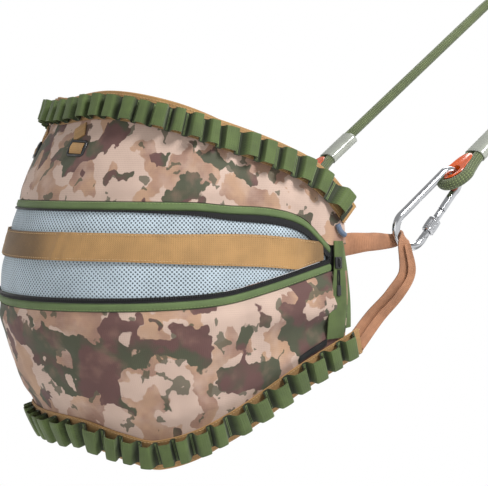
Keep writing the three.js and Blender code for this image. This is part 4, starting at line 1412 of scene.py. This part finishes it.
class SADDLE_OT_carabiners(PieceOperator, bpy.types.Operator):
    """Steel carabiners with gates, pins and knurled screw sleeves"""
    bl_idname = "saddle.carabiners"
    bl_label = "Carabiners"

    def build(self, sizes, colours):
        for side, hand in SIDES.items():
            self.body(side, hand)
            self.gate(side, hand)

    def body(self, side, hand):
        way = [on_gate(hand, 5.4), on_gate(hand, 0.5)]
        way += [wide_bend(hand, turn) for turn in spread(16, QUARTER + SPREAD, -QUARTER - SPREAD)][1:]
        way += [narrow_bend(hand, turn) for turn in spread(14, -QUARTER - SPREAD, QUARTER + SPREAD)]
        way.append(on_gate(hand, GATE_LENGTH + NOSE_GAP))
        path = resample(catmull(way, 6), 1.6)
        piece = tube(f"{side}_carabiner_wire", path, WIRE_R, 28, "steel", "rope_set",
                     [f"{side}_carabiner_body"], Vector((0, 1, 0)))
        piece.data.set_sharp_from_angle(angle=math.radians(60))
        pin = on_gate(hand, PIN_AT)
        across = Vector((0, hand, 0))
        head = [(0.0, -WIRE_R - 0.2), (1.5, -WIRE_R - 0.2), (1.9, -WIRE_R + 0.2), (1.9, WIRE_R - 0.2),
                (1.5, WIRE_R + 0.2), (0.0, WIRE_R + 0.2)]
        lathe(f"{side}_hinge_rivet", head, pin, across, 24, "steel", "rope_set",
              [f"{side}_gate_pin"])

    def gate(self, side, hand):
        start = on_gate(hand, 0)
        way = on_gate(hand, 1) - start
        rod = [(0.0, 1.0), (3.4, 1.0), (GATE_R, 2.4), (GATE_R, 11.5), (3.9, 12.0), (3.9, 35), (GATE_R, 35.5),
               (GATE_R, GATE_LENGTH - 1.2), (3.8, GATE_LENGTH), (0.0, GATE_LENGTH)]
        lathe(f"{side}_gate_rod", rod, start, way, 32, "steel", f"{side}_gate",
              [f"{side}_carabiner_gate"])
        pin = on_gate(hand, GATE_LENGTH - 3.5)
        latch = [(0.0, -GATE_R - 0.15), (1.2, -GATE_R - 0.15), (1.5, -GATE_R + 0.1), (1.5, GATE_R - 0.1),
                 (1.2, GATE_R + 0.15), (0.0, GATE_R + 0.15)]
        lathe(f"{side}_latch_pin", latch, pin, Vector((0, 1, 0)), 20, "steel", f"{side}_gate")

        def knurl(angle, height, radius):
            grip = step_between(17, 18, height) * step_between(29, 28, height)
            return 1 + 0.028 * grip * math.cos(angle * 26)

        bore, out = GATE_R + 0.3, 7.6
        rows = [(bore, 14.0), (out - 0.8, 14.0), (out, 14.8), (out, 16.6), (out - 0.5, 17.0), (out - 0.5, 17.6)]
        rows += [(out - 0.1, z) for z in spread(6, 18.0, 28.0)]
        rows += [(out - 0.5, 28.4), (out - 0.5, 29.0), (out, 29.4), (out, 31.2), (out - 0.8, 32.0), (bore, 32.0)]
        rows.append(rows[0])
        lathe(f"{side}_screw_sleeve", rows, start, way, 104, "steel", f"{side}_lock",
              [f"{side}_lock_sleeve"], knurl)


class SADDLE_OT_fittings(PieceOperator, bpy.types.Operator):
    """Zip sliders with cord pulls, and ladder buckles"""
    bl_idname = "saddle.fittings"
    bl_label = "Fittings"

    def build(self, sizes, colours):
        for side, hand in SIDES.items():
            self.slider(side, hand)
            self.pull(side, hand)
            self.buckle(side, hand)

    def rounded_box(self, name, low, high, material, body, slot, stands_for, axes, centre, bevel=0.9):
        corners = []
        for z in (low[2], high[2]):
            for x, y in ((low[0], low[1]), (high[0], low[1]), (high[0], high[1]), (low[0], high[1])):
                corners.append(centre + axes[0] * x + axes[1] * y + axes[2] * z)
        piece = add_mesh(name, corners, BOX_FACES, material, body, stands_for)
        round_off = piece.modifiers.new("Rounding", "BEVEL")
        round_off.width = bevel * MM
        round_off.segments = 3
        return piece

    def axes_at(self, station, z):
        out = wall_normal(station, z)
        rise = (face(station, z + 1) - face(station, z - 1)).normalized()
        return rise.cross(out).normalized(), rise, out

    def slider(self, side, hand):
        station = hand * SLIDER_AT
        z = upper_panel_low(STRAP_AT) + 6 - 26
        axes = self.axes_at(station, z)
        centre = wall(station, z, LAYER + WEB + LAYER + 1.4)
        self.rounded_box(f"{side}_slider_body", (-5.0, -6.5, -1.4), (5.0, 6.5, 1.2), "black", "saddle",
                         "hardware_black", [f"{side}_zip_slider"], axes, centre)
        bridge = [centre + axes[1] * y + axes[2] * h for y, h in ((-4.5, 0.6), (-3.6, 2.4), (3.6, 2.4), (4.5, 0.6))]
        tube(f"{side}_slider_bridge", resample(catmull(bridge, 6), 0.6), 0.9, 10, "black", "saddle",
             side=axes[0])

    def pull(self, side, hand):
        station = hand * SLIDER_AT
        top = upper_panel_low(STRAP_AT) + 6 - 26 - 6.8
        lift = LAYER + WEB + LAYER + 0.7
        axes = self.axes_at(station, top - 15)
        centre = wall(station, top - 15, lift)
        cord = []
        for x, y in ((-0.9, 14), (-1.6, 6), (-1.4, -2), (-2.0, -9), (0, -14),
                     (2.0, -9), (1.4, -2), (1.6, 6), (0.9, 14)):
            cord.append(centre + axes[0] * x + axes[1] * y)
        tube(f"{side}_pull_cord", resample(catmull(cord, 8), 0.8), 0.95, 10, "zip", f"{side}_pull",
             [f"{side}_zip_pull"], side=axes[2])
        self.rounded_box(f"{side}_pull_grip", (-3.0, -15, -1.3), (3.0, -3, 1.3), "black", f"{side}_pull",
                         "hardware_black", (), axes, centre, 1.0)

    def buckle(self, side, hand):
        top = belt_foot(TAB_AT)
        z = top - 14 - 0.8 - 10
        station = hand * (54 + (top - z) * 0.45)
        axes = self.axes_at(station, z)
        centre = wall(station, z, LAYER + 1.5)
        wide, tall, bar = 14.0, 10.0, 3.4
        body = f"{side}_buckle"
        corners = [(x * (wide - bar / 2), y * (tall - bar / 2)) for x, y in ((-1, -1), (1, -1), (1, 1), (-1, 1))]
        ring = []
        for (x0, y0), (x1, y1) in zip(corners, corners[1:] + corners[:1]):
            ring += [(x0 + (x1 - x0) * t, y0 + (y1 - y0) * t) for t in (0.07, 0.93)]
        path = [centre + axes[0] * x + axes[1] * y for x, y in ring]
        path.append(path[0].copy())
        tube(f"{side}_ladder_frame", path, bar / 2, 12, "black", body,
             [f"{side}_ladder_buckle"], side=axes[2])
        ends = [centre + axes[0] * x + axes[1] * -0.3 for x in (-wide + 1.5, wide - 1.5)]
        tube(f"{side}_ladder_grip", resample(ends, 4), 1.5, 10, "black", body, side=axes[2])
        sections = []
        for y in spread(8, -tall + 3.6, tall - 3.6):
            lift = 1.7 * math.cos(y / (tall - 3.6) * QUARTER)
            middle = centre + axes[1] * y
            outer = [middle + axes[0] * x + axes[2] * (lift + 0.7) for x in spread(4, -wide + 4.2, wide - 4.2)]
            inner = [p - axes[2] * 1.2 for p in outer]
            sections.append((outer, inner, [(y * MM, x * MM) for x in spread(4, -wide + 4.2, wide - 4.2)]))
        slab(f"{side}_ladder_strap", sections, "tan", body)


class SADDLE_PT_panel(bpy.types.Panel):
    """Lists the saddle's settings and pieces"""
    bl_label = "Hunting saddle"
    bl_space_type = "VIEW_3D"
    bl_region_type = "UI"
    bl_category = "Saddle"

    def draw(self, context):
        for group in settings():
            box = self.layout.box()
            for name in group.__annotations__:
                box.prop(group, name)
        for operator in OPERATORS:
            self.layout.operator(operator.bl_idname)


OPERATORS = (
    SADDLE_OT_stage, SADDLE_OT_rope, SADDLE_OT_panels, SADDLE_OT_belts, SADDLE_OT_gusset, SADDLE_OT_straps,
    SADDLE_OT_carabiners, SADDLE_OT_fittings,
)
CLASSES = (SADDLE_PG_sizes, SADDLE_PG_colours, *OPERATORS, SADDLE_PT_panel)


def register():
    for cls in CLASSES:
        bpy.utils.register_class(cls)
    bpy.types.Scene.saddle_sizes = bpy.props.PointerProperty(type=SADDLE_PG_sizes)
    bpy.types.Scene.saddle_colours = bpy.props.PointerProperty(type=SADDLE_PG_colours)


def unregister():
    del bpy.types.Scene.saddle_colours
    del bpy.types.Scene.saddle_sizes
    for cls in reversed(CLASSES):
        bpy.utils.unregister_class(cls)


def main():
    register()
    for operator in OPERATORS:
        group, name = operator.bl_idname.split(".")
        getattr(getattr(bpy.ops, group), name)()


if __name__ == "__main__":
    main()
